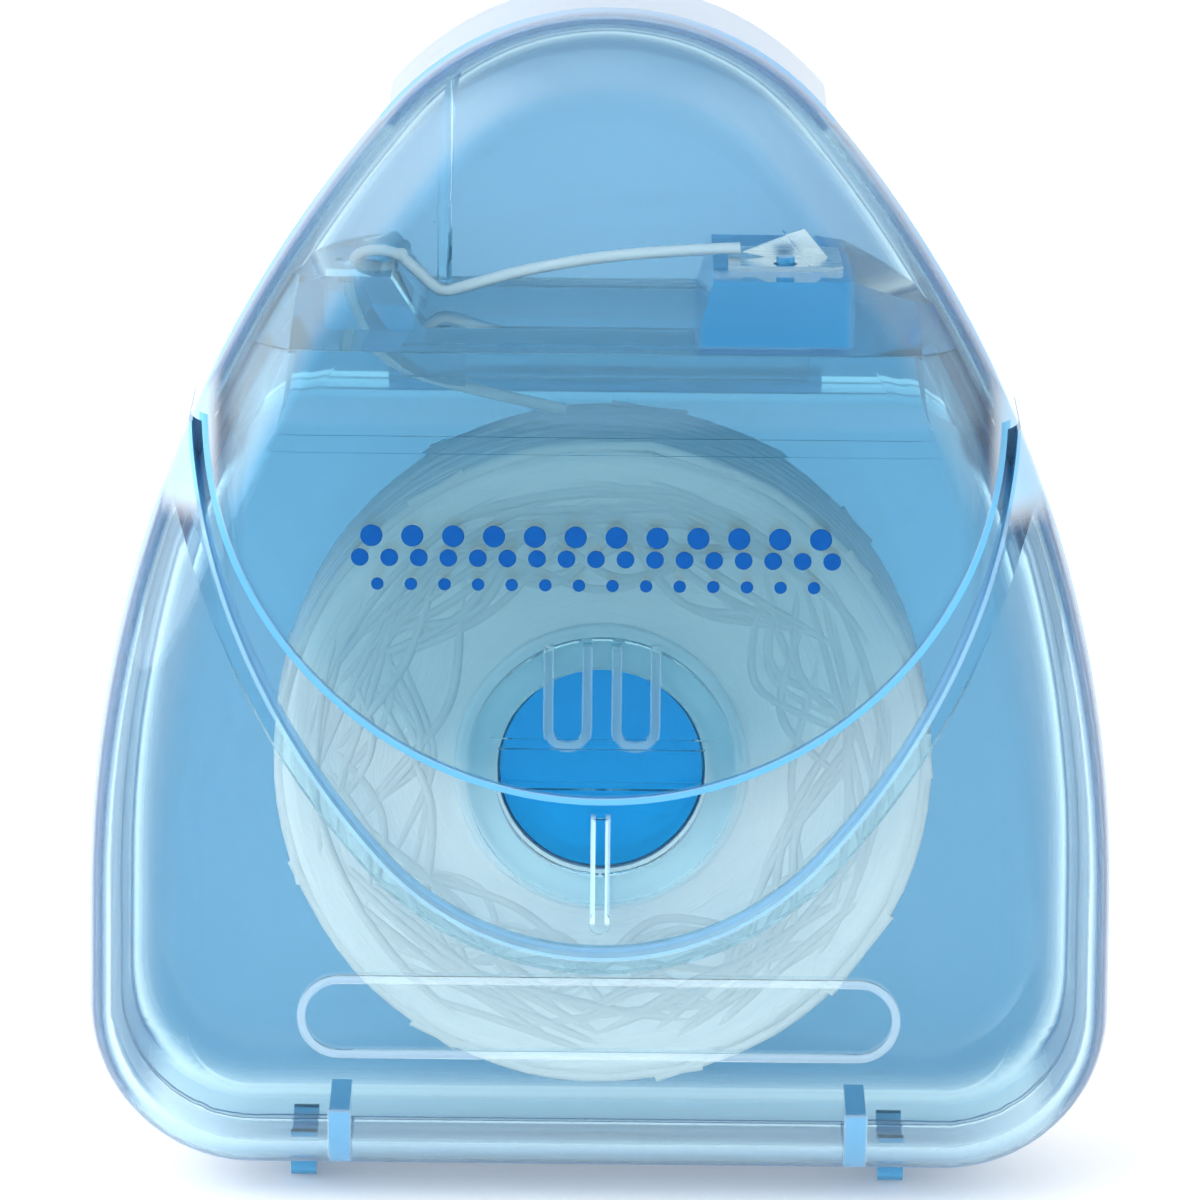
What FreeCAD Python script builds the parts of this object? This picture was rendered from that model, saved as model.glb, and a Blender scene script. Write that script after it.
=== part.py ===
import FreeCAD, Part
import math
import os
import Sketcher

# Pocket floss dispenser: clear two-part case, flip cap, spool of floss, outlet deck and cutter.
# Millimetres. X right, Y to the back, Z up, with the hinge loops of the case standing on Z = 0.

Vector = FreeCAD.Vector
doc = FreeCAD.newDocument("floss_dispenser")
dims = doc.addObject("Spreadsheet::Sheet", "dims")
places = doc.addObject("App::VarSet", "places")
sizes = {
    # Outline of case and cap, seen from the front
    "case_width": 55.9,
    "case_depth": 19.5,
    "edge_round": 5.5,
    "base_z": 1.5,
    "corner_round": 9.0,
    "side_straight": 6.2,
    "crown_round": 15.55,
    # Walls and the clearances between the pieces
    "wall": 1.1,
    "cap_wall": 1.0,
    "cap_gap": 0.3,
    "seam_gap": 0.05,
    "lap": 0.55,
    "lap_gap": 0.08,
    "lap_depth": 1.3,
    "end_gap": 0.3,
    "bore_gap": 0.15,
    # Cap: side rim, front flap, catch and floss pin
    "rim_room": 0.9,
    "rim_gap": 0.35,
    "hood_room": 12.6,
    "flap_radius": 21.8,
    "flap_rise": 1.4,
    "flap_start": 3.3,
    "catch_width": 11.2,
    "catch_lift": 1.1,
    "catch_height": 1.8,
    "catch_reach": 0.4,
    "catch_room": 0.5,
    "pin_set": 1.0,
    "pin_radius": 0.4,
    "pin_gap": 1.25,
    # Cap hinge at the back
    "hinge_inset": 0.35,
    "hinge_drop": 0.3,
    "hinge_groove": 0.75,
    "groove_depth": 0.75,
    "web_width": 24.0,
    "web_thickness": 0.3,
    "web_bead": 0.25,
    "swing_gap": 0.45,
    # Recess in the front shell that takes the flap and the thumb
    "recess_side": 0.8,
    "recess_rise": 4.2,
    "recess_reach": 8.5,
    "recess_round": 16.0,
    "recess_start": 3.0,
    "rib_width": 0.8,
    "rib_lift": 1.7,
    "rib_length": 5.8,
    "rib_rise": 0.5,
    "dot_radius": 0.6,
    # Two spring tongues behind the flap, each freed by a U-shaped slot
    "tongue_x": 1.85,
    "tongue_width": 2.5,
    "tongue_lift": 1.6,
    "tongue_length": 5.8,
    "slot_width": 0.4,
    # Stadium-shaped frame line on the front face
    "frame_inset": 11.55,
    "frame_gap": 1.1,
    "frame_round": 2.3,
    "frame_line": 0.45,
    "frame_rise": 0.2,
    # Hinge loops under the case, and their roots inside the front shell
    "loop_inset": 11.75,
    "loop_width": 1.4,
    "loop_half": 3.0,
    "loop_thickness": 0.6,
    "loop_round": 1.0,
    "root_set": 2.1,
    "root_width": 1.1,
    "root_height": 4.0,
    # Neck and outlet deck under the cap
    "neck_rise": 4.1,
    "valley_rise": 1.3,
    "land_rise": 2.5,
    "land_reach": 2.545,
    "valley_slope": 1.8,
    "block_inset": 22.15,
    "block_slope": 0.8,
    "block_length": 7.5,
    "block_taper": 4.2,
    "block_drop": 1.4,
    "horn_inset": 20.35,
    "horn_sink": 0.5,
    "horn_round": 6.1,
    "horn_thickness": 1.8,
    "horn_width": 5.0,
    "outlet_radius": 0.8,
    "tab_half": 11.0,
    "tab_depth": 1.6,
    "tab_thickness": 0.8,
    # Cutter on the right block
    "cutter_set": 3.9,
    "cutter_length": 6.2,
    "cutter_width": 6.4,
    "cutter_thickness": 0.3,
    "tooth_foot": 0.3,
    "tooth_tip": 2.3,
    "tooth_tip_rise": 0.55,
    "tooth_peak": 1.1,
    "tooth_peak_rise": 1.9,
    "tooth_back": 2.5,
    "stake_radius": 0.5,
    "stake_y": 2.3,
    "stake_height": 0.7,
    # Spool, floss and the hub
    "spool_room": 3.5,
    "stop_rise": 0.95,
    "step_rise": 2.05,
    "hub_radius": 5.5,
    "hub_gap": 1.5,
    "shoulder_radius": 7.4,
    "core_radius": 8.0,
    "package_radius": 17.5,
    "package_shy": 0.5,
    "package_round": 0.8,
    "floss": 0.65,
    "floss_gap": 0.12,
    "layer_gap": 0.02,
    "winding_shy": 1.2,
    "turns": 6,
}

# Heights and places that follow from the sizes above, from the case's bottom up
rules = {
    "spool_z": "dims.base_z + dims.wall + dims.package_radius + dims.floss + dims.spool_room",
    "rim_z": "spool_z + dims.package_radius + dims.floss + dims.rim_room",
    "hinge_y": "dims.case_depth / 2 - dims.hinge_inset",
    "hinge_z": "rim_z - dims.hinge_drop",
    "groove_floor_y": "dims.case_depth / 2 - dims.groove_depth",
    "flap_z": "rim_z + dims.flap_rise",
    "catch_z": "flap_z - dims.flap_radius + dims.catch_lift",
    "tongue_bottom_z": "catch_z + dims.tongue_lift",
    "recess_half": "dims.flap_radius + dims.recess_side",
    "recess_wide_z": "rim_z + dims.recess_rise",
    "recess_bottom_z": "flap_z - dims.flap_radius - dims.recess_reach",
    "rib_bottom_z": "recess_bottom_z + dims.rib_lift",
    "frame_half": "dims.case_width / 2 - dims.frame_inset",
    "frame_z": "recess_bottom_z - dims.frame_gap - dims.frame_round",
    "loop_x": "dims.case_width / 2 - dims.loop_inset",
    "root_x": "loop_x - dims.root_set",
    "neck_top_z": "rim_z + dims.neck_rise",
    "valley_z": "neck_top_z + dims.valley_rise",
    "land_z": "valley_z + dims.land_rise",
    "top_z": "land_z + dims.tooth_peak_rise + dims.hood_room",
    "horn_x": "dims.horn_inset - dims.case_width / 2",
    "horn_z": "land_z - dims.horn_sink",
    "outlet_x": "horn_x - dims.horn_round - dims.floss_gap - dims.floss / 2",
    "left_land_x": "outlet_x + dims.land_reach",
    "valley_left_x": "left_land_x + dims.valley_slope",
    "pin_x": "valley_left_x + dims.pin_set",
    "pin_tip_z": "valley_z + dims.pin_gap",
    "block_left_x": "dims.case_width / 2 - dims.block_inset",
    "valley_right_x": "block_left_x - dims.block_slope",
    "block_right_x": "block_left_x + dims.block_length",
    "block_end_x": "block_right_x + dims.block_taper",
    "block_end_z": "land_z - dims.block_drop",
    "cutter_x": "block_left_x + dims.cutter_set",
    "tooth_foot_x": "cutter_x - dims.tooth_foot",
    "tooth_tip_x": "cutter_x - dims.tooth_tip",
    "tooth_peak_x": "cutter_x + dims.tooth_peak",
    "tooth_back_x": "cutter_x + dims.tooth_back",
    "floor_y": "dims.case_depth / 2 - dims.cap_wall - dims.cap_gap",
    "core_front_y": "dims.wall - floor_y + dims.stop_rise + dims.end_gap",
    "core_back_y": "dims.case_depth / 2 - dims.wall - dims.step_rise - dims.end_gap",
    "core_length": "core_back_y - core_front_y",
    "spool_y": "(core_back_y + core_front_y) / 2",
    "hub_front_y": "floor_y - dims.wall - dims.hub_gap",
    "package_width": "core_length - 2 * dims.package_shy",
    "turn_pitch": "(package_width - dims.winding_shy) / dims.turns",
    "side_start_z": "dims.base_z + dims.corner_round + dims.side_straight",
    "crown_z": "top_z - dims.crown_round",
    "side_rise": "crown_z - side_start_z",
    "side_spare": "dims.case_width / 2 - dims.crown_round",
    "side_radius": "((dims.case_width / 2)^2 + side_rise^2 - dims.crown_round^2) / (2 * side_spare)",
}

for row, (name, value) in enumerate(sizes.items(), start=1):
    cell = "A" + str(row)
    dims.set(cell, str(value))
    dims.setAlias(cell, name)
for name in rules:
    places.addProperty("App::PropertyFloat", name, "Places")
for name, rule in rules.items():
    places.setExpression(name, rule)
doc.recompute()
for name in rules:
    sizes[name] = getattr(places, name)


def amount(names):
    """Sum of some named dimensions."""
    return sum(sizes[name] for name in names)


def formula(names):
    """The same sum as the sheet's formula."""
    return " + ".join(["0"] + ["dims." + name for name in names])


def new_sketch(body, name, role, offset="0"):
    """Empty sketch on an origin plane of a body, moved along the plane's normal."""
    sketch = body.newObject("Sketcher::SketchObject", name)
    plane = [f for f in body.Origin.OriginFeatures if f.Role == role][0]
    sketch.AttachmentSupport = [(plane, "")]
    sketch.MapMode = "FlatFace"
    sketch.setExpression("AttachmentOffset.Base.z", offset)
    return sketch


def drive(sketch, kind, where, value, name, expression):
    """Adds a constraint that a formula of the sheet drives."""
    index = sketch.addConstraint(Sketcher.Constraint(kind, *where, value))
    sketch.renameConstraint(index, name)
    sketch.setExpression("Constraints." + name, expression)


def line(sketch, a, b):
    return sketch.addGeometry(Part.LineSegment(Vector(a[0], a[1], 0), Vector(b[0], b[1], 0)))


def arc(sketch, centre, radius, start, end):
    circle = Part.Circle(Vector(centre[0], centre[1], 0), Vector(0, 0, 1), radius)
    return sketch.addGeometry(Part.ArcOfCircle(circle, start, end))


def chain(sketch, count, kind):
    """Joins the edges 0, 1, 2 and so on end to end in a ring."""
    for i in range(count):
        sketch.addConstraint(Sketcher.Constraint(kind, i, 2, (i + 1) % count, 1))


def polygon(sketch, points, formulas):
    """Closed straight-sided outline whose corners are driven by pairs of formulas."""
    count = len(points)
    for i in range(count):
        line(sketch, points[i], points[(i + 1) % count])
    chain(sketch, count, "Coincident")
    for i in range(count):
        x, z = points[i]
        across, up = formulas[i]
        drive(sketch, "DistanceX", (-1, 1, i, 1), x, "across" + str(i), across)
        drive(sketch, "DistanceY", (-1, 1, i, 1), z, "up" + str(i), up)


def ring(sketch, x, z, radii, formulas, middle):
    """Circles round one point."""
    for i in range(len(radii)):
        sketch.addGeometry(Part.Circle(Vector(x, z, 0), Vector(0, 0, 1), radii[i]))
        drive(sketch, "Radius", (i,), radii[i], "radius" + str(i), formulas[i])
        if x:
            drive(sketch, "DistanceX", (-1, 1, i, 3), x, "across" + str(i), middle[0])
        else:
            sketch.addConstraint(Sketcher.Constraint("PointOnObject", i, 3, -2))
        drive(sketch, "DistanceY", (-1, 1, i, 3), z, "up" + str(i), middle[1])


def pad(body, sketch, length, both_ways=False):
    """Extrudes a sketch along its normal, or both ways from its plane."""
    feature = body.newObject("PartDesign::Pad", sketch.Name + "_pad")
    feature.Profile = sketch
    feature.setExpression("Length", length)
    if both_ways:
        feature.SideType = "Symmetric"
    sketch.Visibility = False
    doc.recompute()
    return feature


def edges_at(shape, level):
    """Names of a shape's edges that lie wholly at that Y."""
    names = []
    for i, edge in enumerate(shape.Edges):
        box = edge.BoundBox
        if abs(box.YMin - level) < 1e-4 and abs(box.YMax - level) < 1e-4:
            names.append("Edge" + str(i + 1))
    return names


def block(name, x, y, z, length, width, height):
    """Box from its least corner and its size, all as formulas."""
    box = doc.addObject("Part::Box", name)
    for key, value in (("Length", length), ("Width", width), ("Height", height)):
        box.setExpression(key, value)
    for key, value in (("x", x), ("y", y), ("z", z)):
        box.setExpression("Placement.Base." + key, value)
    return box


def rod(name, radius, length, x, y, z, along):
    """Cylinder that starts at a point and runs along +X, +Y or +Z."""
    turns = {
        "X": FreeCAD.Rotation(Vector(0, 1, 0), 90),
        "Y": FreeCAD.Rotation(Vector(1, 0, 0), -90),
        "Z": FreeCAD.Rotation(),
    }
    cylinder = doc.addObject("Part::Cylinder", name)
    cylinder.Placement = FreeCAD.Placement(Vector(0, 0, 0), turns[along])
    cylinder.setExpression("Radius", radius)
    cylinder.setExpression("Height", length)
    for key, value in (("x", x), ("y", y), ("z", z)):
        cylinder.setExpression("Placement.Base." + key, value)
    return cylinder


def cut(name, base, tool):
    feature = doc.addObject("Part::Cut", name)
    feature.Base = base
    feature.Tool = tool
    return feature


def common(name, base, tool):
    feature = doc.addObject("Part::Common", name)
    feature.Base = base
    feature.Tool = tool
    return feature


def fuse(name, shapes):
    feature = doc.addObject("Part::MultiFuse", name)
    feature.Shapes = shapes
    feature.Refine = True
    return feature


FAR = "40"
FULL = "80"
AXIS_Z = "places.spool_z"
FRONT_Y = "-dims.case_depth / 2"
FLOOR_Y = "places.floor_y"
LEDGE_Z = "(places.rim_z - dims.rim_gap)"
SWING = "(places.hinge_y + dims.case_depth / 2 - dims.cap_wall - dims.swing_gap)"


def envelope(name, inset):
    """Outer form of the closed dispenser, drawn in all round by the named distances."""
    body = doc.addObject("PartDesign::Body", name)
    sketch = new_sketch(body, name + "_outline", "XZ_Plane")
    shy = amount(inset)
    shy_text = "(" + formula(inset) + ")"
    half = sizes["case_width"] / 2
    base = sizes["base_z"]
    corner = sizes["corner_round"]
    start = sizes["side_start_z"]
    side = sizes["side_radius"]
    crown = sizes["crown_round"]
    crown_z = sizes["crown_z"]
    lean = math.atan2(crown_z - start, side - half)
    quarter = math.pi / 2
    line(sketch, (corner - half, base + shy), (half - corner, base + shy))
    arc(sketch, (half - corner, base + corner), corner - shy, -quarter, 0)
    line(sketch, (half - shy, base + corner), (half - shy, start))
    arc(sketch, (half - side, start), side - shy, 0, lean)
    arc(sketch, (0, crown_z), crown - shy, lean, math.pi - lean)
    arc(sketch, (side - half, start), side - shy, math.pi - lean, math.pi)
    line(sketch, (shy - half, start), (shy - half, base + corner))
    arc(sketch, (corner - half, base + corner), corner - shy, math.pi, 3 * quarter)
    chain(sketch, 8, "Tangent")
    sketch.addConstraint(Sketcher.Constraint("Horizontal", 0))
    sketch.addConstraint(Sketcher.Constraint("Vertical", 2))
    sketch.addConstraint(Sketcher.Constraint("Vertical", 6))
    half_text = "dims.case_width / 2 - " + shy_text
    drive(sketch, "DistanceX", (-1, 1, 2, 1), half - shy, "right", half_text)
    drive(sketch, "DistanceX", (6, 1, -1, 1), half - shy, "left", half_text)
    drive(sketch, "DistanceY", (-1, 1, 0, 1), base + shy, "base", "dims.base_z + " + shy_text)
    drive(sketch, "DistanceY", (-1, 1, 2, 2), start, "right_start", "places.side_start_z")
    drive(sketch, "DistanceY", (-1, 1, 6, 1), start, "left_start", "places.side_start_z")
    for edge, title in ((1, "right_corner"), (7, "left_corner")):
        drive(sketch, "Radius", (edge,), corner - shy, title, "dims.corner_round - " + shy_text)
    for edge, title in ((3, "right_side"), (5, "left_side")):
        drive(sketch, "Radius", (edge,), side - shy, title, "places.side_radius - " + shy_text)
    drive(sketch, "Radius", (4,), crown - shy, "crown", "dims.crown_round - " + shy_text)
    deep = pad(body, sketch, "dims.case_depth - 2 * " + shy_text, True)
    level = sizes["case_depth"] / 2 - shy
    rounding = body.newObject("PartDesign::Fillet", name + "_round")
    rounding.Base = (deep, edges_at(deep.Shape, level) + edges_at(deep.Shape, -level))
    rounding.setExpression("Radius", "dims.edge_round - " + shy_text)
    body.Tip = rounding
    doc.recompute()
    return body


def recess_prism(name, extra, start):
    """Prism of the recess outline, widened all round, from a depth out past the front."""
    body = doc.addObject("PartDesign::Body", name)
    sketch = new_sketch(body, name + "_outline", "XZ_Plane", start)
    grow = amount(extra)
    grow_text = "(" + formula(extra) + ")"
    half = sizes["recess_half"]
    low = sizes["recess_round"]
    low_z = sizes["recess_bottom_z"] + low
    wide_z = sizes["recess_wide_z"]
    side = (half**2 + (wide_z - low_z) ** 2 - low**2) / (2 * (half - low))
    low_text = "(places.recess_bottom_z + dims.recess_round)"
    side_text = "(places.recess_half^2 + (places.recess_wide_z - " + low_text + ")^2 - dims.recess_round^2)"
    side_text = side_text + " / (2 * (places.recess_half - dims.recess_round)) + " + grow_text
    top = wide_z + half
    lean = math.atan2(low_z - wide_z, side - half)
    arc(sketch, (0, low_z), low + grow, -math.pi - lean, lean)
    arc(sketch, (half - side, wide_z), side + grow, lean, 0)
    line(sketch, (half + grow, wide_z), (half + grow, top))
    line(sketch, (half + grow, top), (-half - grow, top))
    line(sketch, (-half - grow, top), (-half - grow, wide_z))
    arc(sketch, (side - half, wide_z), side + grow, math.pi, math.pi - lean)
    for a, b in ((0, 1), (1, 2), (4, 5), (5, 0)):
        sketch.addConstraint(Sketcher.Constraint("Tangent", a, 2, b, 1))
    for a, b in ((2, 3), (3, 4)):
        sketch.addConstraint(Sketcher.Constraint("Coincident", a, 2, b, 1))
    sketch.addConstraint(Sketcher.Constraint("Vertical", 2))
    sketch.addConstraint(Sketcher.Constraint("Vertical", 4))
    sketch.addConstraint(Sketcher.Constraint("Horizontal", 3))
    half_text = "places.recess_half + " + grow_text
    drive(sketch, "DistanceX", (-1, 1, 2, 1), half + grow, "right", half_text)
    drive(sketch, "DistanceX", (4, 1, -1, 1), half + grow, "left", half_text)
    drive(sketch, "DistanceY", (-1, 1, 2, 1), wide_z, "right_z", "places.recess_wide_z")
    drive(sketch, "DistanceY", (-1, 1, 4, 2), wide_z, "left_z", "places.recess_wide_z")
    drive(sketch, "DistanceY", (-1, 1, 2, 2), top, "top", "places.recess_wide_z + places.recess_half")
    drive(sketch, "Radius", (1,), side + grow, "right_side", side_text)
    drive(sketch, "Radius", (5,), side + grow, "left_side", side_text)
    drive(sketch, "Radius", (0,), low + grow, "low", "dims.recess_round + " + grow_text)
    pad(body, sketch, "20")
    return body


SIDES = {"front": ("-" + FAR, FAR + " - dims.seam_gap"), "back": ("0", FAR)}


def half_space(name, side, low, high):
    """Everything on one side of the parting plane between two heights."""
    y, width = SIDES[side]
    return block(name, "-" + FAR, y, low, FULL, width, high + " - (" + low + ")")


def swing_zone(name, side, shrink, top):
    """Space round the cap hinge in which the neck and deck stay, so that the cap swings clear."""
    reach = SWING + " - (" + shrink + ")"
    drum = rod(name + "_drum", reach, FULL, "-" + FAR, "places.hinge_y", "places.hinge_z", "X")
    slab = half_space(name + "_slab", side, LEDGE_Z + " - 3 * dims.wall", top)
    return common(name, drum, slab)


def case_half(side, forms):
    """One half of the case with its part of the neck, and in front the recess."""
    name = side + "_half"
    outside = common(name + "_body", forms["outer"], half_space(name + "_low", side, "-5", LEDGE_Z))
    roof = LEDGE_Z + " - dims.wall"
    inside = common(name + "_chamber", forms["cavity"], half_space(name + "_room", side, "-5", roof))
    if side == "front":
        recess = recess_prism("recess", [], "dims.recess_start")
        behind = recess_prism("recess_wide", ["wall"], "dims.recess_start - dims.wall")
        outside = cut("recessed", outside, cut("recess_space", recess, forms["neck"]))
        inside = cut("chamber_cut", inside, cut("recess_back", behind, forms["neck_hollow"]))
    zone = swing_zone(name + "_neck_zone", side, "0", "places.neck_top_z")
    neck = common(name + "_neck", forms["neck"], zone)
    throat_zone = swing_zone(name + "_throat_zone", side, "dims.wall", "places.neck_top_z + 2")
    throat = common(name + "_throat", forms["neck_hollow"], throat_zone)
    solid = fuse(name + "_solid", [outside, neck])
    hollow = fuse(name + "_hollow", [inside, throat])
    return cut(name, solid, hollow)


def hinge_groove(name):
    """Groove across the back that frees the edges of case and cap round the hinge."""
    low = "places.hinge_z - dims.hinge_groove"
    return block(name, "-" + FAR, "places.groove_floor_y", low, FULL, "5", "2 * dims.hinge_groove")


def lap_band(name, reach, back, shy):
    """Slice beside the parting plane in which the halves lap."""
    tall = LEDGE_Z + " - 4 * dims.wall + 5 - " + shy
    return block(name, "-" + FAR, "-(" + reach + ")", "-5", FULL, reach + " + " + back, tall)


def stadium(sketch, first, half, radius, names):
    """Slot-shaped ring of four edges round the frame's middle."""
    z = sizes["frame_z"]
    straight = half - radius
    quarter = math.pi / 2
    line(sketch, (-straight, z - radius), (straight, z - radius))
    arc(sketch, (straight, z), radius, -quarter, quarter)
    line(sketch, (straight, z + radius), (-straight, z + radius))
    arc(sketch, (-straight, z), radius, quarter, 3 * quarter)
    for i in range(4):
        sketch.addConstraint(Sketcher.Constraint("Tangent", first + i, 2, first + (i + 1) % 4, 1))
    sketch.addConstraint(Sketcher.Constraint("Horizontal", first))
    side_text = "places.frame_half - dims.frame_round"
    drive(sketch, "DistanceX", (-1, 1, first + 1, 3), straight, "right" + str(first), side_text)
    drive(sketch, "DistanceX", (first + 3, 3, -1, 1), straight, "left" + str(first), side_text)
    drive(sketch, "DistanceY", (-1, 1, first + 1, 3), z, "up" + str(first), "places.frame_z")
    drive(sketch, "Radius", (first + 1,), radius, "round" + str(first), names)


def frame_line():
    """Raised stadium-shaped line on the front face."""
    body = doc.addObject("PartDesign::Body", "frame_line")
    sketch = new_sketch(body, "frame_outline", "XZ_Plane", "dims.case_depth / 2 - dims.frame_rise")
    inner = sizes["frame_round"] - sizes["frame_line"]
    stadium(sketch, 0, sizes["frame_half"], sizes["frame_round"], "dims.frame_round")
    stadium(sketch, 4, sizes["frame_half"] - sizes["frame_line"], inner, "dims.frame_round - dims.frame_line")
    pad(body, sketch, "2 * dims.frame_rise")
    return body


def tongue_slot(side):
    """U-shaped slot, open upwards, that frees one spring tongue."""
    name = "tongue_slot_" + ("left" if side < 0 else "right")
    body = doc.addObject("PartDesign::Body", name)
    start = FLOOR_Y + " - 2 * dims.wall"
    sketch = new_sketch(body, name + "_outline", "XZ_Plane", start)
    x = side * sizes["tongue_x"]
    outer = sizes["tongue_width"] / 2
    inner = outer - sizes["slot_width"]
    turn_z = sizes["tongue_bottom_z"] + outer
    top = sizes["tongue_bottom_z"] + sizes["tongue_length"]
    line(sketch, (x - outer, top), (x - outer, turn_z))
    arc(sketch, (x, turn_z), outer, math.pi, 2 * math.pi)
    line(sketch, (x + outer, turn_z), (x + outer, top))
    line(sketch, (x + outer, top), (x + inner, top))
    line(sketch, (x + inner, top), (x + inner, turn_z))
    arc(sketch, (x, turn_z), inner, math.pi, 2 * math.pi)
    line(sketch, (x - inner, turn_z), (x - inner, top))
    line(sketch, (x - inner, top), (x - outer, top))
    for a, a_end, b, b_end in ((0, 2, 1, 1), (1, 2, 2, 1), (4, 2, 5, 2), (5, 1, 6, 1)):
        sketch.addConstraint(Sketcher.Constraint("Tangent", a, a_end, b, b_end))
    for a, b in ((2, 3), (3, 4), (6, 7), (7, 0)):
        sketch.addConstraint(Sketcher.Constraint("Coincident", a, 2, b, 1))
    for edge in (0, 2, 4, 6):
        sketch.addConstraint(Sketcher.Constraint("Vertical", edge))
    for edge in (3, 7):
        sketch.addConstraint(Sketcher.Constraint("Horizontal", edge))
    sign = "-" if side < 0 else ""
    outer_text = "dims.tongue_width / 2"
    turn_text = "places.tongue_bottom_z + dims.tongue_width / 2"
    for edge, radius, text in ((1, outer, outer_text), (5, inner, outer_text + " - dims.slot_width")):
        drive(sketch, "DistanceX", (-1, 1, edge, 3), x, "across" + str(edge), sign + "dims.tongue_x")
        drive(sketch, "DistanceY", (-1, 1, edge, 3), turn_z, "turn" + str(edge), turn_text)
        drive(sketch, "Radius", (edge,), radius, "round" + str(edge), text)
    top_text = "places.tongue_bottom_z + dims.tongue_length"
    drive(sketch, "DistanceY", (-1, 1, 0, 1), top, "left_top", top_text)
    drive(sketch, "DistanceY", (-1, 1, 2, 2), top, "right_top", top_text)
    pad(body, sketch, "3 * dims.wall")
    return body


def hinge_root(side, outer):
    """Upright rib on the bottom wall of the front shell beside a hinge loop."""
    name = "hinge_root_" + ("left" if side < 0 else "right")
    x = ("-" if side < 0 else "") + "places.root_x - dims.root_width / 2"
    bar = block(name + "_bar", x, FRONT_Y, "dims.base_z", "dims.root_width",
                "dims.case_depth / 2 - 1.5 * dims.lap_depth", "dims.root_height")
    return common(name, bar, outer)


def front_shell(forms):
    """Front half: recess floor with rib, tongues and catch slot, frame line, rebated edge."""
    half = case_half("front", forms)
    rebate = common("rebate", forms["rebate"], lap_band("rebate_band", "dims.lap_depth", "1", "0"))
    catch_x = "-dims.catch_width / 2 - dims.catch_room"
    catch_low = "places.catch_z - dims.catch_room"
    catch_wide = "dims.catch_width + 2 * dims.catch_room"
    catch_tall = "dims.catch_height + 2 * dims.catch_room"
    catch_y = "-" + FLOOR_Y + " - 1"
    slot = block("catch_slot", catch_x, catch_y, catch_low, catch_wide, "1 + dims.catch_room", catch_tall)
    openings = fuse("front_openings", [rebate, slot, tongue_slot(-1), tongue_slot(1)])
    opened = cut("front_opened", half, openings)
    rib_y = "-" + FLOOR_Y + " - dims.rib_rise"
    rib_deep = "dims.rib_rise + dims.wall / 2"
    rib_x = "-dims.rib_width / 2"
    rib_z = "places.rib_bottom_z"
    rib = block("thumb_rib", rib_x, rib_y, rib_z, "dims.rib_width", rib_deep, "dims.rib_length")
    dot = rod("thumb_dot", "dims.dot_radius", rib_deep, "0", rib_y, rib_z, "Y")
    ring_start = "-" + FLOOR_Y + " + dims.wall / 2"
    ring_end = "places.spool_y - places.core_length / 2 - dims.end_gap"
    ring_long = ring_end + " - (" + ring_start + ")"
    disc = rod("stop_disc", "dims.shoulder_radius", ring_long, "0", ring_start, AXIS_Z, "Y")
    hole_y = "-" + FLOOR_Y + " + dims.wall"
    hole = rod("stop_hole", "dims.hub_radius + dims.end_gap", FAR, "0", hole_y, AXIS_Z, "Y")
    stop = cut("stop_ring", disc, hole)
    roots = [hinge_root(-1, forms["outer"]), hinge_root(1, forms["outer"])]
    return fuse("front_shell", [opened, rib, dot, stop, frame_line()] + roots)


def back_shell(forms):
    """Back half: hub post, shoulder for the spool, lip inside the front half."""
    half = cut("back_grooved", case_half("back", forms), hinge_groove("case_groove"))
    lip_ring = cut("lip_ring", forms["lip"], forms["cavity"])
    band = lap_band("lip_band", "dims.lap_depth - dims.end_gap / 2", "0.5", "dims.end_gap")
    lip = common("lip", lip_ring, band)
    back_y = "dims.case_depth / 2 - dims.wall / 2"
    post_long = back_y + " + places.hub_front_y"
    post = rod("hub_post", "dims.hub_radius", post_long, "0", "-places.hub_front_y", AXIS_Z, "Y")
    step_y = "places.spool_y + places.core_length / 2 + dims.end_gap"
    step = rod("hub_step", "dims.shoulder_radius", back_y + " - (" + step_y + ")", "0", step_y, AXIS_Z, "Y")
    return fuse("back_shell", [half, lip, post, step])


def flip_cap(forms):
    """Hood with front flap, catch ridge and floss pin."""
    skin = cut("cap_skin", forms["outer"], forms["cap_hollow"])
    hood = block("hood_space", "-" + FAR, "-" + FAR, "places.rim_z", FULL, FULL, FULL)
    start = "-" + FAR + " - dims.flap_start"
    flap = rod("flap_space", "dims.flap_radius", FAR, "0", start, "places.flap_z", "Y")
    shell = common("cap_shell", skin, fuse("cap_space", [hood, flap]))
    shell = cut("cap_freed", shell, hinge_groove("cap_groove"))
    catch_y = "-dims.case_depth / 2 + dims.cap_wall / 2"
    catch_deep = "dims.cap_wall / 2 + dims.catch_reach"
    catch_x = "-dims.catch_width / 2"
    catch_z = "places.catch_z"
    catch = block("catch", catch_x, catch_y, catch_z, "dims.catch_width", catch_deep, "dims.catch_height")
    pin_long = "places.top_z - places.pin_tip_z"
    rod_up = rod("floss_rod", "dims.pin_radius", pin_long, "places.pin_x", "0", "places.pin_tip_z", "Z")
    pin = common("floss_pin", rod_up, forms["outer"])
    return fuse("flip_cap", [shell, catch, pin])


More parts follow.
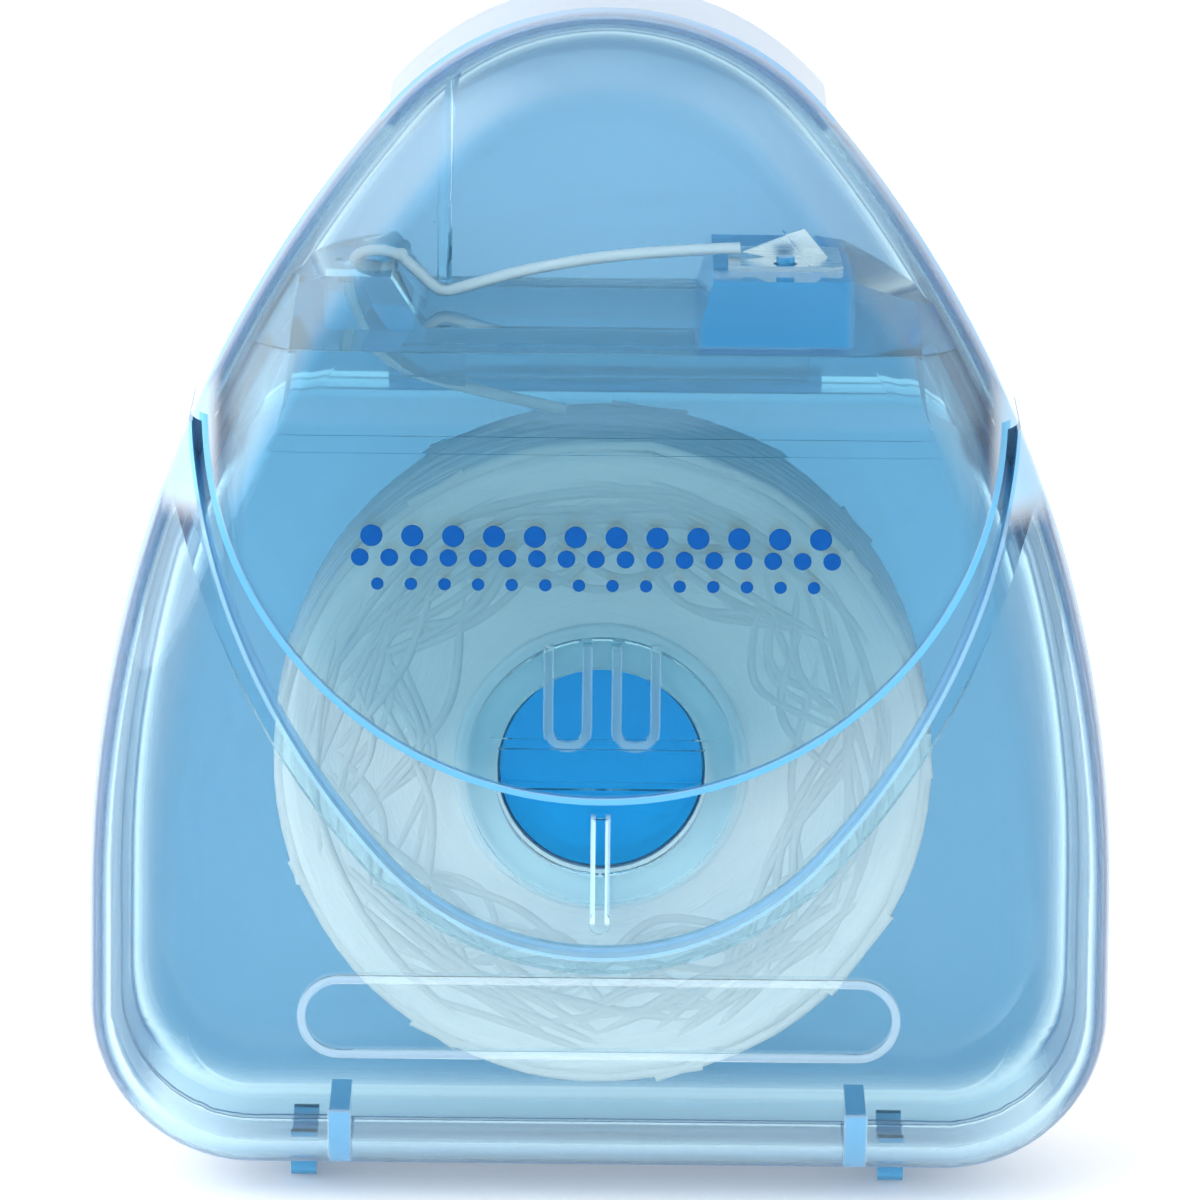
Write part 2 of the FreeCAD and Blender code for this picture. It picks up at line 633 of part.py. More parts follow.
def cap_hinge_web():
    """Thin web between case and cap, with a bead along the hinge axis."""
    body = doc.addObject("PartDesign::Body", "cap_hinge_web")
    sketch = new_sketch(body, "web_section", "YZ_Plane")
    half = sizes["web_thickness"] / 2
    y = sizes["hinge_y"]
    low = sizes["hinge_z"] - sizes["hinge_groove"]
    high = sizes["hinge_z"] + sizes["hinge_groove"]
    thin = "places.hinge_y - dims.web_thickness / 2"
    thick = "places.hinge_y + dims.web_thickness / 2"
    low_text = "places.hinge_z - dims.hinge_groove"
    high_text = "places.hinge_z + dims.hinge_groove"
    points = [(y - half, low), (y + half, low), (y + half, high), (y - half, high)]
    polygon(sketch, points, [(thin, low_text), (thick, low_text), (thick, high_text), (thin, high_text)])
    pad(body, sketch, "dims.web_width", True)
    bead = new_sketch(body, "web_bead", "YZ_Plane")
    centre = ("places.hinge_y", "places.hinge_z")
    ring(bead, y, sizes["hinge_z"], [sizes["web_bead"]], ["dims.web_bead"], centre)
    pad(body, bead, "dims.web_width", True)
    return body


def case_hinge(side):
    """Loop under the case that joins front and back shell."""
    name = "case_hinge_" + ("left" if side < 0 else "right")
    body = doc.addObject("PartDesign::Body", name)
    sketch = new_sketch(body, name + "_section", "YZ_Plane", ("-" if side < 0 else "") + "places.loop_x")
    top = sizes["base_z"]
    for shy in (0, sizes["loop_thickness"]):
        half = sizes["loop_half"] - shy
        bend = sizes["loop_round"] - shy
        turn = sizes["loop_round"]
        line(sketch, (-half, top), (-half, turn))
        arc(sketch, (bend - half, turn), bend, math.pi, 1.5 * math.pi)
        line(sketch, (bend - half, shy), (half - bend, shy))
        arc(sketch, (half - bend, turn), bend, 1.5 * math.pi, 2 * math.pi)
        line(sketch, (half, turn), (half, top))
    for first in (0, 5):
        shy = sizes["loop_thickness"] if first else 0
        shy_text = " - dims.loop_thickness" if first else ""
        half_text = "dims.loop_half" + shy_text
        bend_text = "dims.loop_round" + shy_text
        for i in range(4):
            sketch.addConstraint(Sketcher.Constraint("Tangent", first + i, 2, first + i + 1, 1))
        sketch.addConstraint(Sketcher.Constraint("Vertical", first))
        sketch.addConstraint(Sketcher.Constraint("Vertical", first + 4))
        half = sizes["loop_half"] - shy
        tag = str(first)
        drive(sketch, "DistanceX", (first, 1, -1, 1), half, "front" + tag, half_text)
        drive(sketch, "DistanceX", (-1, 1, first + 4, 2), half, "rear" + tag, half_text)
        drive(sketch, "DistanceY", (-1, 1, first, 1), top, "front_top" + tag, "dims.base_z")
        drive(sketch, "DistanceY", (-1, 1, first + 4, 2), top, "rear_top" + tag, "dims.base_z")
        drive(sketch, "Radius", (first + 1,), sizes["loop_round"] - shy, "front_bend" + tag, bend_text)
        drive(sketch, "Radius", (first + 3,), sizes["loop_round"] - shy, "rear_bend" + tag, bend_text)
        if first:
            drive(sketch, "DistanceY", (-1, 1, first + 2, 1), shy, "low" + tag, "dims.loop_thickness")
        else:
            sketch.addConstraint(Sketcher.Constraint("PointOnObject", first + 2, 1, -1))
    line(sketch, (-sizes["loop_half"], top), (sizes["loop_thickness"] - sizes["loop_half"], top))
    line(sketch, (sizes["loop_half"] - sizes["loop_thickness"], top), (sizes["loop_half"], top))
    for a, a_end, b, b_end in ((10, 1, 0, 1), (10, 2, 5, 1), (11, 1, 9, 2), (11, 2, 4, 2)):
        sketch.addConstraint(Sketcher.Constraint("Coincident", a, a_end, b, b_end))
    pad(body, sketch, "dims.loop_width", True)
    return body


def deck_profile():
    """Front view of the deck: left land, valley, right block that tapers at its end."""
    body = doc.addObject("PartDesign::Body", "deck_profile")
    sketch = new_sketch(body, "deck_outline", "XZ_Plane")
    far = sizes["case_width"] / 2
    low = sizes["neck_top_z"] + sizes["seam_gap"]
    low_text = "places.neck_top_z + dims.seam_gap"
    corners = [("left_land_x", "land_z"), ("valley_left_x", "valley_z"), ("valley_right_x", "valley_z")]
    corners += [("block_left_x", "land_z"), ("block_right_x", "land_z"), ("block_end_x", "block_end_z")]
    points = [(-far, low), (-far, sizes["land_z"])] + [(sizes[x], sizes[z]) for x, z in corners]
    points += [(far, sizes["block_end_z"]), (far, low)]
    right = "dims.case_width / 2"
    texts = [("-" + right, low_text), ("-" + right, "places.land_z")]
    texts += [("places." + x, "places." + z) for x, z in corners]
    texts += [(right, "places.block_end_z"), (right, low_text)]
    polygon(sketch, points, texts)
    pad(body, sketch, FULL, True)
    return body


def guide_horn():
    """Quarter ring under the deck that the floss bends round on its way to the outlet."""
    body = doc.addObject("PartDesign::Body", "guide_horn")
    sketch = new_sketch(body, "horn_outline", "XZ_Plane")
    x, z = sizes["horn_x"], sizes["horn_z"]
    outer = sizes["horn_round"]
    inner = outer - sizes["horn_thickness"]
    arc(sketch, (x, z), outer, math.pi, 1.5 * math.pi)
    line(sketch, (x, z - outer), (x, z - inner))
    arc(sketch, (x, z), inner, math.pi, 1.5 * math.pi)
    line(sketch, (x - inner, z), (x - outer, z))
    for a, a_end, b, b_end in ((0, 2, 1, 1), (1, 2, 2, 2), (2, 1, 3, 1), (3, 2, 0, 1)):
        sketch.addConstraint(Sketcher.Constraint("Coincident", a, a_end, b, b_end))
    sketch.addConstraint(Sketcher.Constraint("Vertical", 1))
    sketch.addConstraint(Sketcher.Constraint("Horizontal", 3))
    sketch.addConstraint(Sketcher.Constraint("Coincident", 0, 3, 2, 3))
    drive(sketch, "DistanceX", (0, 3, -1, 1), -x, "across", "-places.horn_x")
    drive(sketch, "DistanceY", (-1, 1, 0, 3), z, "up", "places.horn_z")
    drive(sketch, "DistanceX", (1, 1, -1, 1), -x, "end", "-places.horn_x")
    drive(sketch, "DistanceY", (-1, 1, 3, 1), z, "root", "places.horn_z")
    drive(sketch, "Radius", (0,), outer, "outer", "dims.horn_round")
    drive(sketch, "Radius", (2,), inner, "inner", "dims.horn_round - dims.horn_thickness")
    pad(body, sketch, "dims.horn_width", True)
    return body


def outlet_deck(forms):
    """Deck on the neck: profile in the neck's plan, horn, locating tabs, outlet hole, cutter stakes."""
    drum = rod("deck_drum", SWING, FULL, "-" + FAR, "places.hinge_y", "places.hinge_z", "X")
    plan = common("deck_plan", forms["neck"], drum)
    plate = common("deck_plate", plan, deck_profile())
    tab_z = "places.neck_top_z - dims.tab_depth"
    back_y = FLOOR_Y + " - dims.wall - dims.end_gap - dims.tab_thickness"
    front_y = "places.hinge_y - " + SWING + " + dims.wall + 3 * dims.end_gap"
    tabs = []
    for name, y in (("tab_front", front_y), ("tab_back", back_y)):
        tall = "dims.tab_depth + dims.end_gap"
        tabs.append(block(name, "-dims.tab_half", y, tab_z, "2 * dims.tab_half", "dims.tab_thickness", tall))
    stakes = []
    for name, y in (("stake_front", "-dims.stake_y"), ("stake_back", "dims.stake_y")):
        tall = "dims.stake_height + dims.end_gap"
        foot = "places.land_z - dims.end_gap"
        stakes.append(rod(name, "dims.stake_radius", tall, "places.cutter_x", y, foot, "Z"))
    outlet = rod("outlet", "dims.outlet_radius", FAR, "places.outlet_x", "0", "places.hinge_z", "Z")
    pocket_x = "places.outlet_x" + " - dims.outlet_radius - dims.end_gap"
    pocket_end = "places.horn_x - dims.horn_round + dims.horn_thickness / 2"
    pocket_tall = "places.horn_z - dims.outlet_radius - places.neck_top_z + 1"
    pocket = block("outlet_pocket", pocket_x, "-dims.horn_width / 2", "places.neck_top_z - 1",
                   pocket_end + " - (" + pocket_x + ")", "dims.horn_width", pocket_tall)
    opened = cut("deck_opened", plate, fuse("outlet_way", [outlet, pocket]))
    return fuse("outlet_deck", [opened, guide_horn()] + tabs + stakes)


def cutter():
    """Stamped steel plate on the right block with one tooth bent up."""
    body = doc.addObject("PartDesign::Body", "cutter")
    plate = new_sketch(body, "cutter_plate", "XY_Plane", "places.land_z")
    x, length, width = sizes["cutter_x"], sizes["cutter_length"] / 2, sizes["cutter_width"] / 2
    points = [(x - length, -width), (x + length, -width), (x + length, width), (x - length, width)]
    left = "places.cutter_x - dims.cutter_length / 2"
    right = "places.cutter_x + dims.cutter_length / 2"
    near, far = "-dims.cutter_width / 2", "dims.cutter_width / 2"
    polygon(plate, points, [(left, near), (right, near), (right, far), (left, far)])
    pad(body, plate, "dims.cutter_thickness")
    tooth = new_sketch(body, "cutter_tooth", "XZ_Plane")
    top = sizes["land_z"]
    corners = [("tooth_foot_x", None), ("tooth_tip_x", "tooth_tip_rise")]
    corners += [("tooth_peak_x", "tooth_peak_rise"), ("tooth_back_x", None)]
    points = []
    texts = []
    for across, rise in corners:
        rise = rise or "cutter_thickness"
        shy = sizes["cutter_thickness"] / 2 if rise == "cutter_thickness" else 0
        points.append((sizes[across], top + sizes[rise] - shy))
        shy_text = " - dims.cutter_thickness / 2" if shy else ""
        texts.append(("places." + across, "places.land_z + dims." + rise + shy_text))
    polygon(tooth, points, texts)
    pad(body, tooth, "dims.cutter_thickness", True)
    holes = new_sketch(body, "stake_holes", "XY_Plane", "places.land_z + dims.cutter_thickness")
    for i, side in enumerate((-1, 1)):
        y = side * sizes["stake_y"]
        radius = sizes["stake_radius"] + sizes["bore_gap"]
        holes.addGeometry(Part.Circle(Vector(x, y, 0), Vector(0, 0, 1), radius))
        drive(holes, "Radius", (i,), radius, "radius" + str(i), "dims.stake_radius + dims.bore_gap")
        drive(holes, "DistanceX", (-1, 1, i, 3), x, "across" + str(i), "places.cutter_x")
        drive(holes, "DistanceY", (-1, 1, i, 3), y, "up" + str(i), str(side) + " * dims.stake_y")
    pocket = body.newObject("PartDesign::Pocket", "stake_pocket")
    pocket.Profile = holes
    pocket.setExpression("Length", "2 * dims.cutter_thickness")
    holes.Visibility = False
    doc.recompute()
    return body


def spool_ring(name, radii, formulas, width, edge_round):
    """Ring round the spool's axis with rounded outer edges."""
    body = doc.addObject("PartDesign::Body", name)
    sketch = new_sketch(body, name + "_section", "XZ_Plane", "-places.spool_y")
    ring(sketch, 0, sizes["spool_z"], radii, formulas, ("0", AXIS_Z))
    wide = pad(body, sketch, width, True)
    outer = []
    for i, edge in enumerate(wide.Shape.Edges):
        if isinstance(edge.Curve, Part.Circle) and abs(edge.Curve.Radius - max(radii)) < 1e-4:
            outer.append("Edge" + str(i + 1))
    rounding = body.newObject("PartDesign::Fillet", name + "_round")
    rounding.Base = (wide, outer)
    rounding.setExpression("Radius", edge_round)
    body.Tip = rounding
    doc.recompute()
    return body


def spool_core():
    bore = sizes["hub_radius"] + sizes["bore_gap"]
    radii = [sizes["core_radius"], bore]
    texts = ["dims.core_radius", "dims.hub_radius + dims.bore_gap"]
    return spool_ring("spool_core", radii, texts, "places.core_length", "dims.end_gap")


def floss_package():
    radii = [sizes["package_radius"], sizes["core_radius"]]
    texts = ["dims.package_radius", "dims.core_radius"]
    return spool_ring("floss_package", radii, texts, "places.package_width", "dims.package_round")


def corner_arc(start, corner, end):
    """Arc from start to end that touches both legs to the corner, which are equally long."""
    to_start = (start - corner).normalize()
    to_end = (end - corner).normalize()
    half = to_start.getAngle(to_end) / 2
    leg = (start - corner).Length
    bisector = (to_start + to_end).normalize()
    middle = corner + bisector * (leg / math.cos(half) - leg * math.tan(half))
    return Part.Arc(start, middle, end).toShape(), leg * math.tan(half)


def biarc(a, a_way, b, b_way):
    """Two arcs from a to b that leave and arrive along the given directions."""
    chord = b - a
    both = a_way + b_way
    bend = 2 * (1 - a_way.dot(b_way))
    slope = chord.dot(both)
    reach = (-slope + math.sqrt(slope**2 + bend * chord.dot(chord))) / bend
    first = a + a_way * reach
    second = b - b_way * reach
    joint = (first + second) * 0.5
    return [corner_arc(a, first, joint)[0], corner_arc(joint, second, b)[0]]


def tube(edges, radius, start, way):
    """Round tube along joined edges."""
    path = Part.Wire(edges)
    section = Part.Wire([Part.Circle(start, way, radius).toShape()])
    solid = path.makePipeShell([section], True, False)
    return solid, path.Length


def report_tube(name, shape, length, radius):
    expected = length * math.pi * radius**2
    print(name, "volume", round(shape.Volume, 3), "of section times length", round(expected, 3))


def winding_radius():
    return sizes["package_radius"] + sizes["layer_gap"] + sizes["floss"] / 2


def floss_winding():
    """Outermost layer of floss: one tube of turns on the package, on biarcs of a quarter turn."""
    radius = winding_radius()
    pitch = sizes["turn_pitch"]
    count = int(sizes["turns"])
    wire = sizes["floss"] / 2
    rise = pitch / (2 * math.pi)
    speed = math.hypot(radius, rise)
    y = sizes["spool_y"] - pitch * count / 2
    middle = Vector(0, y, sizes["spool_z"])

    def point(angle):
        return middle + Vector(radius * math.cos(angle), rise * angle, radius * math.sin(angle))

    def way(angle):
        return Vector(-radius * math.sin(angle), rise, radius * math.cos(angle)) * (1 / speed)

    angles = [i * math.pi / 2 for i in range(4 * count + 1)]
    edges = []
    first = point(0) - way(0) * sizes["floss"]
    edges.append(Part.LineSegment(first, point(0)).toShape())
    for a, b in zip(angles, angles[1:]):
        edges += biarc(point(a), way(a), point(b), way(b))
    last = point(angles[-1]) + way(angles[-1]) * sizes["floss"]
    edges.append(Part.LineSegment(point(angles[-1]), last).toShape())
    shape, length = tube(edges, wire, first, way(0))
    samples = [point(i * math.pi / 18) for i in range(36 * count + 1)]
    gap = min((a - b).Length for i, a in enumerate(samples) for b in samples[i + 18:]) - 2 * wire
    print("winding least gap to itself", round(gap, 3))
    report_tube("winding", shape, length, wire)
    feature = doc.addObject("Part::Feature", "floss_winding")
    feature.Shape = shape
    feature.Placement = FreeCAD.Placement()
    return feature


def lead_points():
    """Corners of the floss lead's route in the plane Y = 0, each with its bend radius."""
    wire = sizes["floss"] / 2
    spool = Vector(0, 0, sizes["spool_z"])
    horn = Vector(sizes["horn_x"], 0, sizes["horn_z"])
    bend = sizes["horn_round"] + sizes["floss_gap"] + wire
    reach = horn - spool
    span = winding_radius() + bend
    up = math.atan2(reach.z, reach.x) - math.acos(span / reach.Length)
    normal = Vector(math.cos(up), 0, math.sin(up))
    way = Vector(-normal.z, 0, normal.x)
    leave = spool + normal * winding_radius()
    swept = sizes["package_radius"] + sizes["floss"] + sizes["end_gap"] + wire
    start = leave + way * math.sqrt(swept**2 - winding_radius() ** 2)
    upright = sizes["outlet_x"]
    turn = start + way * ((upright - start.x) / way.x)
    over = sizes["land_z"] + sizes["floss_gap"] + wire
    dip_z = sizes["pin_tip_z"] - 4 * sizes["floss_gap"] - wire
    rest = sizes["land_z"] + sizes["cutter_thickness"] + sizes["floss_gap"] + wire
    end_x = sizes["tooth_tip_x"] - sizes["floss_gap"]
    ridge = Vector(sizes["left_land_x"] + wire, 0, over)
    dip = Vector(sizes["pin_x"] - sizes["pin_radius"] / 2, 0, dip_z)
    bow = Vector((sizes["pin_x"] + end_x) / 2, 0, rest - sizes["floss"] / 2)
    end = Vector(end_x, 0, rest)
    corners = [turn, Vector(upright, 0, over), ridge, dip, bow]
    radii = [bend, 1.4 * sizes["floss"], 2 * sizes["floss"], 1.4 * sizes["floss"], sizes["case_width"]]
    return start, corners, radii, end


def floss_lead():
    """Strand from the package round the horn, up the outlet, under the pin and to the cutter."""
    start, corners, radii, end = lead_points()
    points = [start] + corners + [end]
    edges = []
    at = start
    for before, corner, after, radius in zip(points, corners, points[2:], radii):
        back = (before - corner).normalize()
        ahead = (after - corner).normalize()
        leg = radius / math.tan(back.getAngle(ahead) / 2)
        bend_start = corner + back * leg
        if (bend_start - at).Length > 1e-6:
            edges.append(Part.LineSegment(at, bend_start).toShape())
        bend, found = corner_arc(bend_start, corner, corner + ahead * leg)
        edges.append(bend)
        at = corner + ahead * leg
        print("lead bend radius", round(found, 2))
    edges.append(Part.LineSegment(at, end).toShape())
    way = (corners[0] - start).normalize()
    shape, length = tube(edges, sizes["floss"] / 2, start, way)
    report_tube("lead", shape, length, sizes["floss"] / 2)
    feature = doc.addObject("Part::Feature", "floss_lead")
    feature.Shape = shape
    feature.Placement = FreeCAD.Placement()
    return feature


def build():
    forms = {
        "outer": envelope("outer_form", []),
        "cap_hollow": envelope("cap_hollow", ["cap_wall"]),
        "neck": envelope("neck_form", ["cap_wall", "cap_gap"]),
        "neck_hollow": envelope("neck_hollow", ["cap_wall", "cap_gap", "wall"]),
        "cavity": envelope("cavity_form", ["wall"]),
        "rebate": envelope("rebate_form", ["lap"]),
        "lip": envelope("lip_form", ["lap", "lap_gap"]),
    }
    nodes = [front_shell(forms), back_shell(forms), flip_cap(forms), cap_hinge_web()]
    nodes += [case_hinge(-1), case_hinge(1), outlet_deck(forms), cutter()]
    nodes += [spool_core(), floss_package(), floss_winding(), floss_lead()]
    doc.recompute()
    for item in doc.Objects:
        if "Invalid" in item.State or "Error" in item.State:
            raise RuntimeError(item.Name + " did not build")
    os.makedirs("parts", exist_ok=True)
    for node in nodes:
        node.Label = node.Name
        shape = node.Shape
        if shape.isNull() or not shape.isValid() or len(shape.Solids) != 1:
            raise RuntimeError(node.Label + " is not one sound solid: " + str(len(shape.Solids)))
        shape.exportStep("parts/" + node.Label + ".step")
        print(node.Label, round(shape.Volume, 1), shape.BoundBox)


build()
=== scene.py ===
import math
import random

import bmesh
import bpy
from mathutils import Euler, Matrix, Vector


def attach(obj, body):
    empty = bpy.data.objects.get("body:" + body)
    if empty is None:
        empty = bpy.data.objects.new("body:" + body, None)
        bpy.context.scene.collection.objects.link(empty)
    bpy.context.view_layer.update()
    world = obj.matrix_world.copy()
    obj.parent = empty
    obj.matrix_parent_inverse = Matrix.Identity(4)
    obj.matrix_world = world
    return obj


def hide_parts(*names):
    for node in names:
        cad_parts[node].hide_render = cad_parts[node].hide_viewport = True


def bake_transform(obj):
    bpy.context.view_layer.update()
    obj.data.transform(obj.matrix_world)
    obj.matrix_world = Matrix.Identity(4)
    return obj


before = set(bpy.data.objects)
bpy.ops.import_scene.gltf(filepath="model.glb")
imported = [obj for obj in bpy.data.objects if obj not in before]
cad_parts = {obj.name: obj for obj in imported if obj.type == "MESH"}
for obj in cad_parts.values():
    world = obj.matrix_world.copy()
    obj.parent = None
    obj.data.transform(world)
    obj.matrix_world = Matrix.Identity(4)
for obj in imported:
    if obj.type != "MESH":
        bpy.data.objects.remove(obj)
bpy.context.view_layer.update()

# Sizes and places are in millimetres, and MM turns them into Blender's metres
MM = 0.001

# Spool and floss
SPOOL_Z = 24.25
SPOOL_Y = 0.1
PACKAGE_RADIUS = 17.5
CORE_RADIUS = 8.0
PACKAGE_HALF = 5.7
PACKAGE_EDGE = 0.8
PACKAGE_STEPS = 144
EDGE_SEGMENTS = 6
FLOSS = 0.65

# Route of the lead, each point's x and z, as in the solids
LEAD = (
    (-2.14, 42.90), (-8.91, 44.29), (-12.20, 45.60), (-14.05, 48.20), (-14.15, 50.60),
    (-13.60, 51.66), (-11.50, 51.60), (-10.20, 50.40), (-9.00, 49.30), (-7.80, 49.62),
    (-4.00, 50.75), (1.80, 51.68), (7.28, 51.94),
)

# Turns round the outside of the package; the shift of a turn's start is in radians
TURNS = 9
TURN_STEPS = 24
TURN_ROOM = 0.55
TURN_SHIFT = 0.1
TURN_LENGTH = 1.02
TURN_LIFT = 0.3
TURN_WAVE = 0.1
TURN_WAVES = 6

# Arcs on each end of the package; spans are in radians
ARCS = 110
ARC_STEPS = 8
ARC_SPAN = (0.7, 1.7)
ARC_RIM = 0.7
ARC_ROOM_IN = 0.9
ARC_ROOM_OUT = 1.1
ARC_LIFT = 0.12
ARC_SINK = 0.18
ARC_DIP = 0.4
ARC_BOW = 0.8
ARC_THICKNESS = 0.84

# Cap, its printed dots and its web; a row of dots is count, pitch, radius and height
CAP_FRONT_Y = -9.75
DOT_ROWS = ((12, 2.20, 0.60, 37.7), (17, 1.59, 0.48, 36.5), (14, 1.81, 0.34, 35.05))
DOTS_X = -0.4
DOT_PROUD = 0.03
DOT_DEPTH = 0.05
DOT_TAPER = 0.94
DOT_SIDES = 28
HINGE_Y = 9.4
HINGE_Z = 43.0
WEB_WIDTH = 24.0
WEB_HEIGHT = 1.46
WEB_THICKNESS = 0.26
WEB_CUTS = 11
BEAD_HALF = 0.2
BEAD_RISE = 0.85

# Lines and tinted places of the clear mouldings; a share is how much of the tint shows
FRONT_Y = -5.0
FLAP_RADIUS = 21.8
FLAP_Z = 44.7
FLAP_LINE_INSET = 0.1
FLAP_LINE_END = 1.0
FLAP_LINE_WIDTH = 0.32
FLAP_LINE_SHARE = 0.75
RECESS_HALF = 22.6
RECESS_WIDE_Z = 47.5
RECESS_BOTTOM_Z = 14.4
RECESS_ROUND = 16.0
RECESS_LINE_WIDTH = 0.26
RECESS_LINE_SHARE = 0.55
TONGUE_X = 1.85
TONGUE_TURN_Z = 26.85
TONGUE_TOP_Z = 31.4
SLOT_RADIUS = 1.05
TONGUE_LINE_WIDTH = 0.32
TONGUE_SHARE = 0.55
RIB_HALF = 0.4
RIB_BOTTOM_Z = 16.1
RIB_TOP_Z = 21.9
RIB_LINE_WIDTH = 0.16
RIB_SHARE = 0.75
FRAME_HALF = 16.4
FRAME_ROUND = 2.3
FRAME_Z = 11.0
FRAME_LINE_INSET = 0.22
FRAME_LINE_WIDTH = 0.28
FRAME_SHARE = 0.26
ROOT_X = 14.1
ROOT_HALF = 0.6
ROOT_SOFT = 0.1
ROOT_BOTTOM_Z = 1.0
ROOT_TOP_Z = 5.6
ROOT_SHARE = 0.65
HUB_FACE_RADIUS = 5.6
HUB_FACE_END = 5.9
HUB_SHARE = 0.8
NECK_BOTTOM_Z = 43.6
NECK_TOP_Z = 56.0
NECK_SOFT = 0.4
NECK_SHARE = 0.13
BLOCK_LEFT = 4.9
BLOCK_RIGHT = 13.3
BLOCK_SOFT = 0.4
BLOCK_BOTTOM_Z = 47.8
BLOCK_TOP_Z = 52.6
BLOCK_SHARE = 0.6
LOOP_FULL_Z = 8.0
LOOP_END_Z = 10.0
LOOP_SHARE = 0.7
# Outer corners beside the rim, which carry a painted pale sheen
SHOULDER_START_X = 20.5
SHOULDER_FULL_X = 22.0
SHOULDER_BOTTOM_Z = 39.0
SHOULDER_TOP_Z = 48.0
SHOULDER_SOFT = 1.2

# Where the painted shade on the back walls, the rim and the hood's crown begin and are full
BACK_START_Y = 3.0
BACK_FULL_Y = 8.0
HUB_BACK_RADIUS = 7.0
HUB_BACK_END = 8.0
HUB_BACK_SHARE = 0.25
RIM_START_Z = 41.0
RIM_FULL_Z = 45.0
CROWN_START_Z = 48.0
CROWN_FULL_Z = 65.0
CROWN_SHARE = 0.62
LEVEL_BOTTOM_Z = 12.0
LEVEL_TOP_Z = 60.0
LEVEL_SOFT = 0.5

# How strongly a share colours a clear wall, and how far it makes the wall milky
SIDE_COLOUR = 1.5
SIDE_MILK = 1.42
FLAT_SIDE = 0.5
MARK_COLOUR = 1.4
MARK_MILK = 0.85
# How milky the painted shade on the back walls is
BACK_SHADE_MILK = 0.4
PLASTIC_IOR = 1.47

# Colours, linear
BARE = (0.99, 0.995, 1.0)
WHITE = (1.0, 1.0, 1.0)
EDGE = (0.04, 0.38, 0.76)
LINE = (0.17, 0.52, 0.82)
PALE = (0.62, 0.86, 1.0)
LOOP = (0.17, 0.56, 0.88)
HAZE = (0.08, 0.62, 1.0)
HUB = (0.01, 0.42, 0.85)
# Painted pale sheen for the outer corners beside the rim
SHOULDER_SHEEN = (0.42, 0.66, 0.86)
# Painted shade: grey-blue for the walls that face the back, above the rim and on the hood's back, standing
# in for the shadowed floor seen through them
BACK_SHADE = (0.38, 0.62, 0.82)
BACK_NECK_SHADE = (0.58, 0.92, 1.0)
CAP_BACK_SHADE = (0.42, 0.64, 0.84)
GLOSS_FLAT = (0.12, 0.5, 0.9)
DEPTH_TINT = (0.0, 0.74, 0.95)
STEEL_TONES = ((0.62, 0.64, 0.66), (0.84, 0.85, 0.87))
CORE_TONES = ((0.80, 0.90, 0.96), (0.88, 0.94, 0.98))
FLOSS_TONES = ((0.86, 0.89, 0.92), (0.97, 0.975, 0.98))
INK_TONES = ((0.002, 0.055, 0.25), (0.004, 0.080, 0.31))
FLOOR_TONES = ((0.90, 0.90, 0.90), (0.93, 0.93, 0.93))

# Floor, light and camera in metres and degrees; a light is its direction, the cosines where
# it starts and is full, and its strength
FLOOR_HALF = 1.5
FLOOR_Z = -0.0002
FLOOR_GLOW = 0.15
SKY_LOW = 0.38
SKY_HIGH = 0.64
LIGHTS = (
    ((-0.38, -0.84, 0.40), 0.30, 0.95, 0.9),
    ((-0.88, -0.42, 0.18), 0.55, 0.92, 2.7),
    ((0.88, -0.42, 0.22), 0.60, 0.92, 1.1),
    ((0.0, 1.0, 0.1), 0.2, 0.8, 0.75),
)
CAMERA_RISE = 12
CAMERA_ROLL = 0.6
CAMERA_TARGET = (-0.00016, 0, 0.0322)
CAMERA_DISTANCE = 0.55
VIEW_WIDTH = 0.06585
SENSOR_WIDTH = 36


def material(name):
    """Empty node material with a Principled shader on its output."""
    made = bpy.data.materials.new(name)
    made.use_nodes = True
    tree = made.node_tree
    tree.nodes.clear()
    output = tree.nodes.new("ShaderNodeOutputMaterial")
    shader = tree.nodes.new("ShaderNodeBsdfPrincipled")
    tree.links.new(shader.outputs["BSDF"], output.inputs["Surface"])
    return made, tree, shader


def node(tree, kind, **values):
    """New node with some of its input sockets set."""
    made = tree.nodes.new(kind)
    for key, value in values.items():
        made.inputs[key.replace("_", " ")].default_value = value
    return made


def object_place(tree):
    return tree.nodes.new("ShaderNodeTexCoord").outputs["Object"]


def noise(tree, coords, scale, detail=2.0, roughness=0.5):
    made = node(tree, "ShaderNodeTexNoise", Scale=scale, Detail=detail, Roughness=roughness)
    tree.links.new(coords, made.inputs["Vector"])
    return made.outputs["Fac"]


def remap(tree, value, low, high):
    made = node(tree, "ShaderNodeMapRange", To_Min=low, To_Max=high)
    tree.links.new(value, made.inputs["Value"])
    return made.outputs["Result"]


def bump(tree, shader, height, strength, distance):
    made = node(tree, "ShaderNodeBump", Strength=strength, Distance=distance)
    tree.links.new(height, made.inputs["Height"])
    tree.links.new(made.outputs["Normal"], shader.inputs["Normal"])


def two_tone(tree, shader, share, tones):
    """Gives a shader a base colour that goes from one tone to another with a share."""
    ramp = tree.nodes.new("ShaderNodeValToRGB")
    for stop, tone in zip(ramp.color_ramp.elements, tones):
        stop.color = (*tone, 1)
    tree.links.new(share, ramp.inputs["Fac"])
    tree.links.new(ramp.outputs["Color"], shader.inputs["Base Color"])


def mixed(tree, share, first, second):
    """Colour that goes from the first to the second with a share; both are values or sockets."""
    made = tree.nodes.new("ShaderNodeMix")
    made.data_type = "RGBA"
    tree.links.new(share, made.inputs["Factor"])
    for socket, value in ((made.inputs[6], first), (made.inputs[7], second)):
        if isinstance(value, tuple):
            socket.default_value = (*value, 1)
        else:
            tree.links.new(value, socket)
    return made.outputs[2]


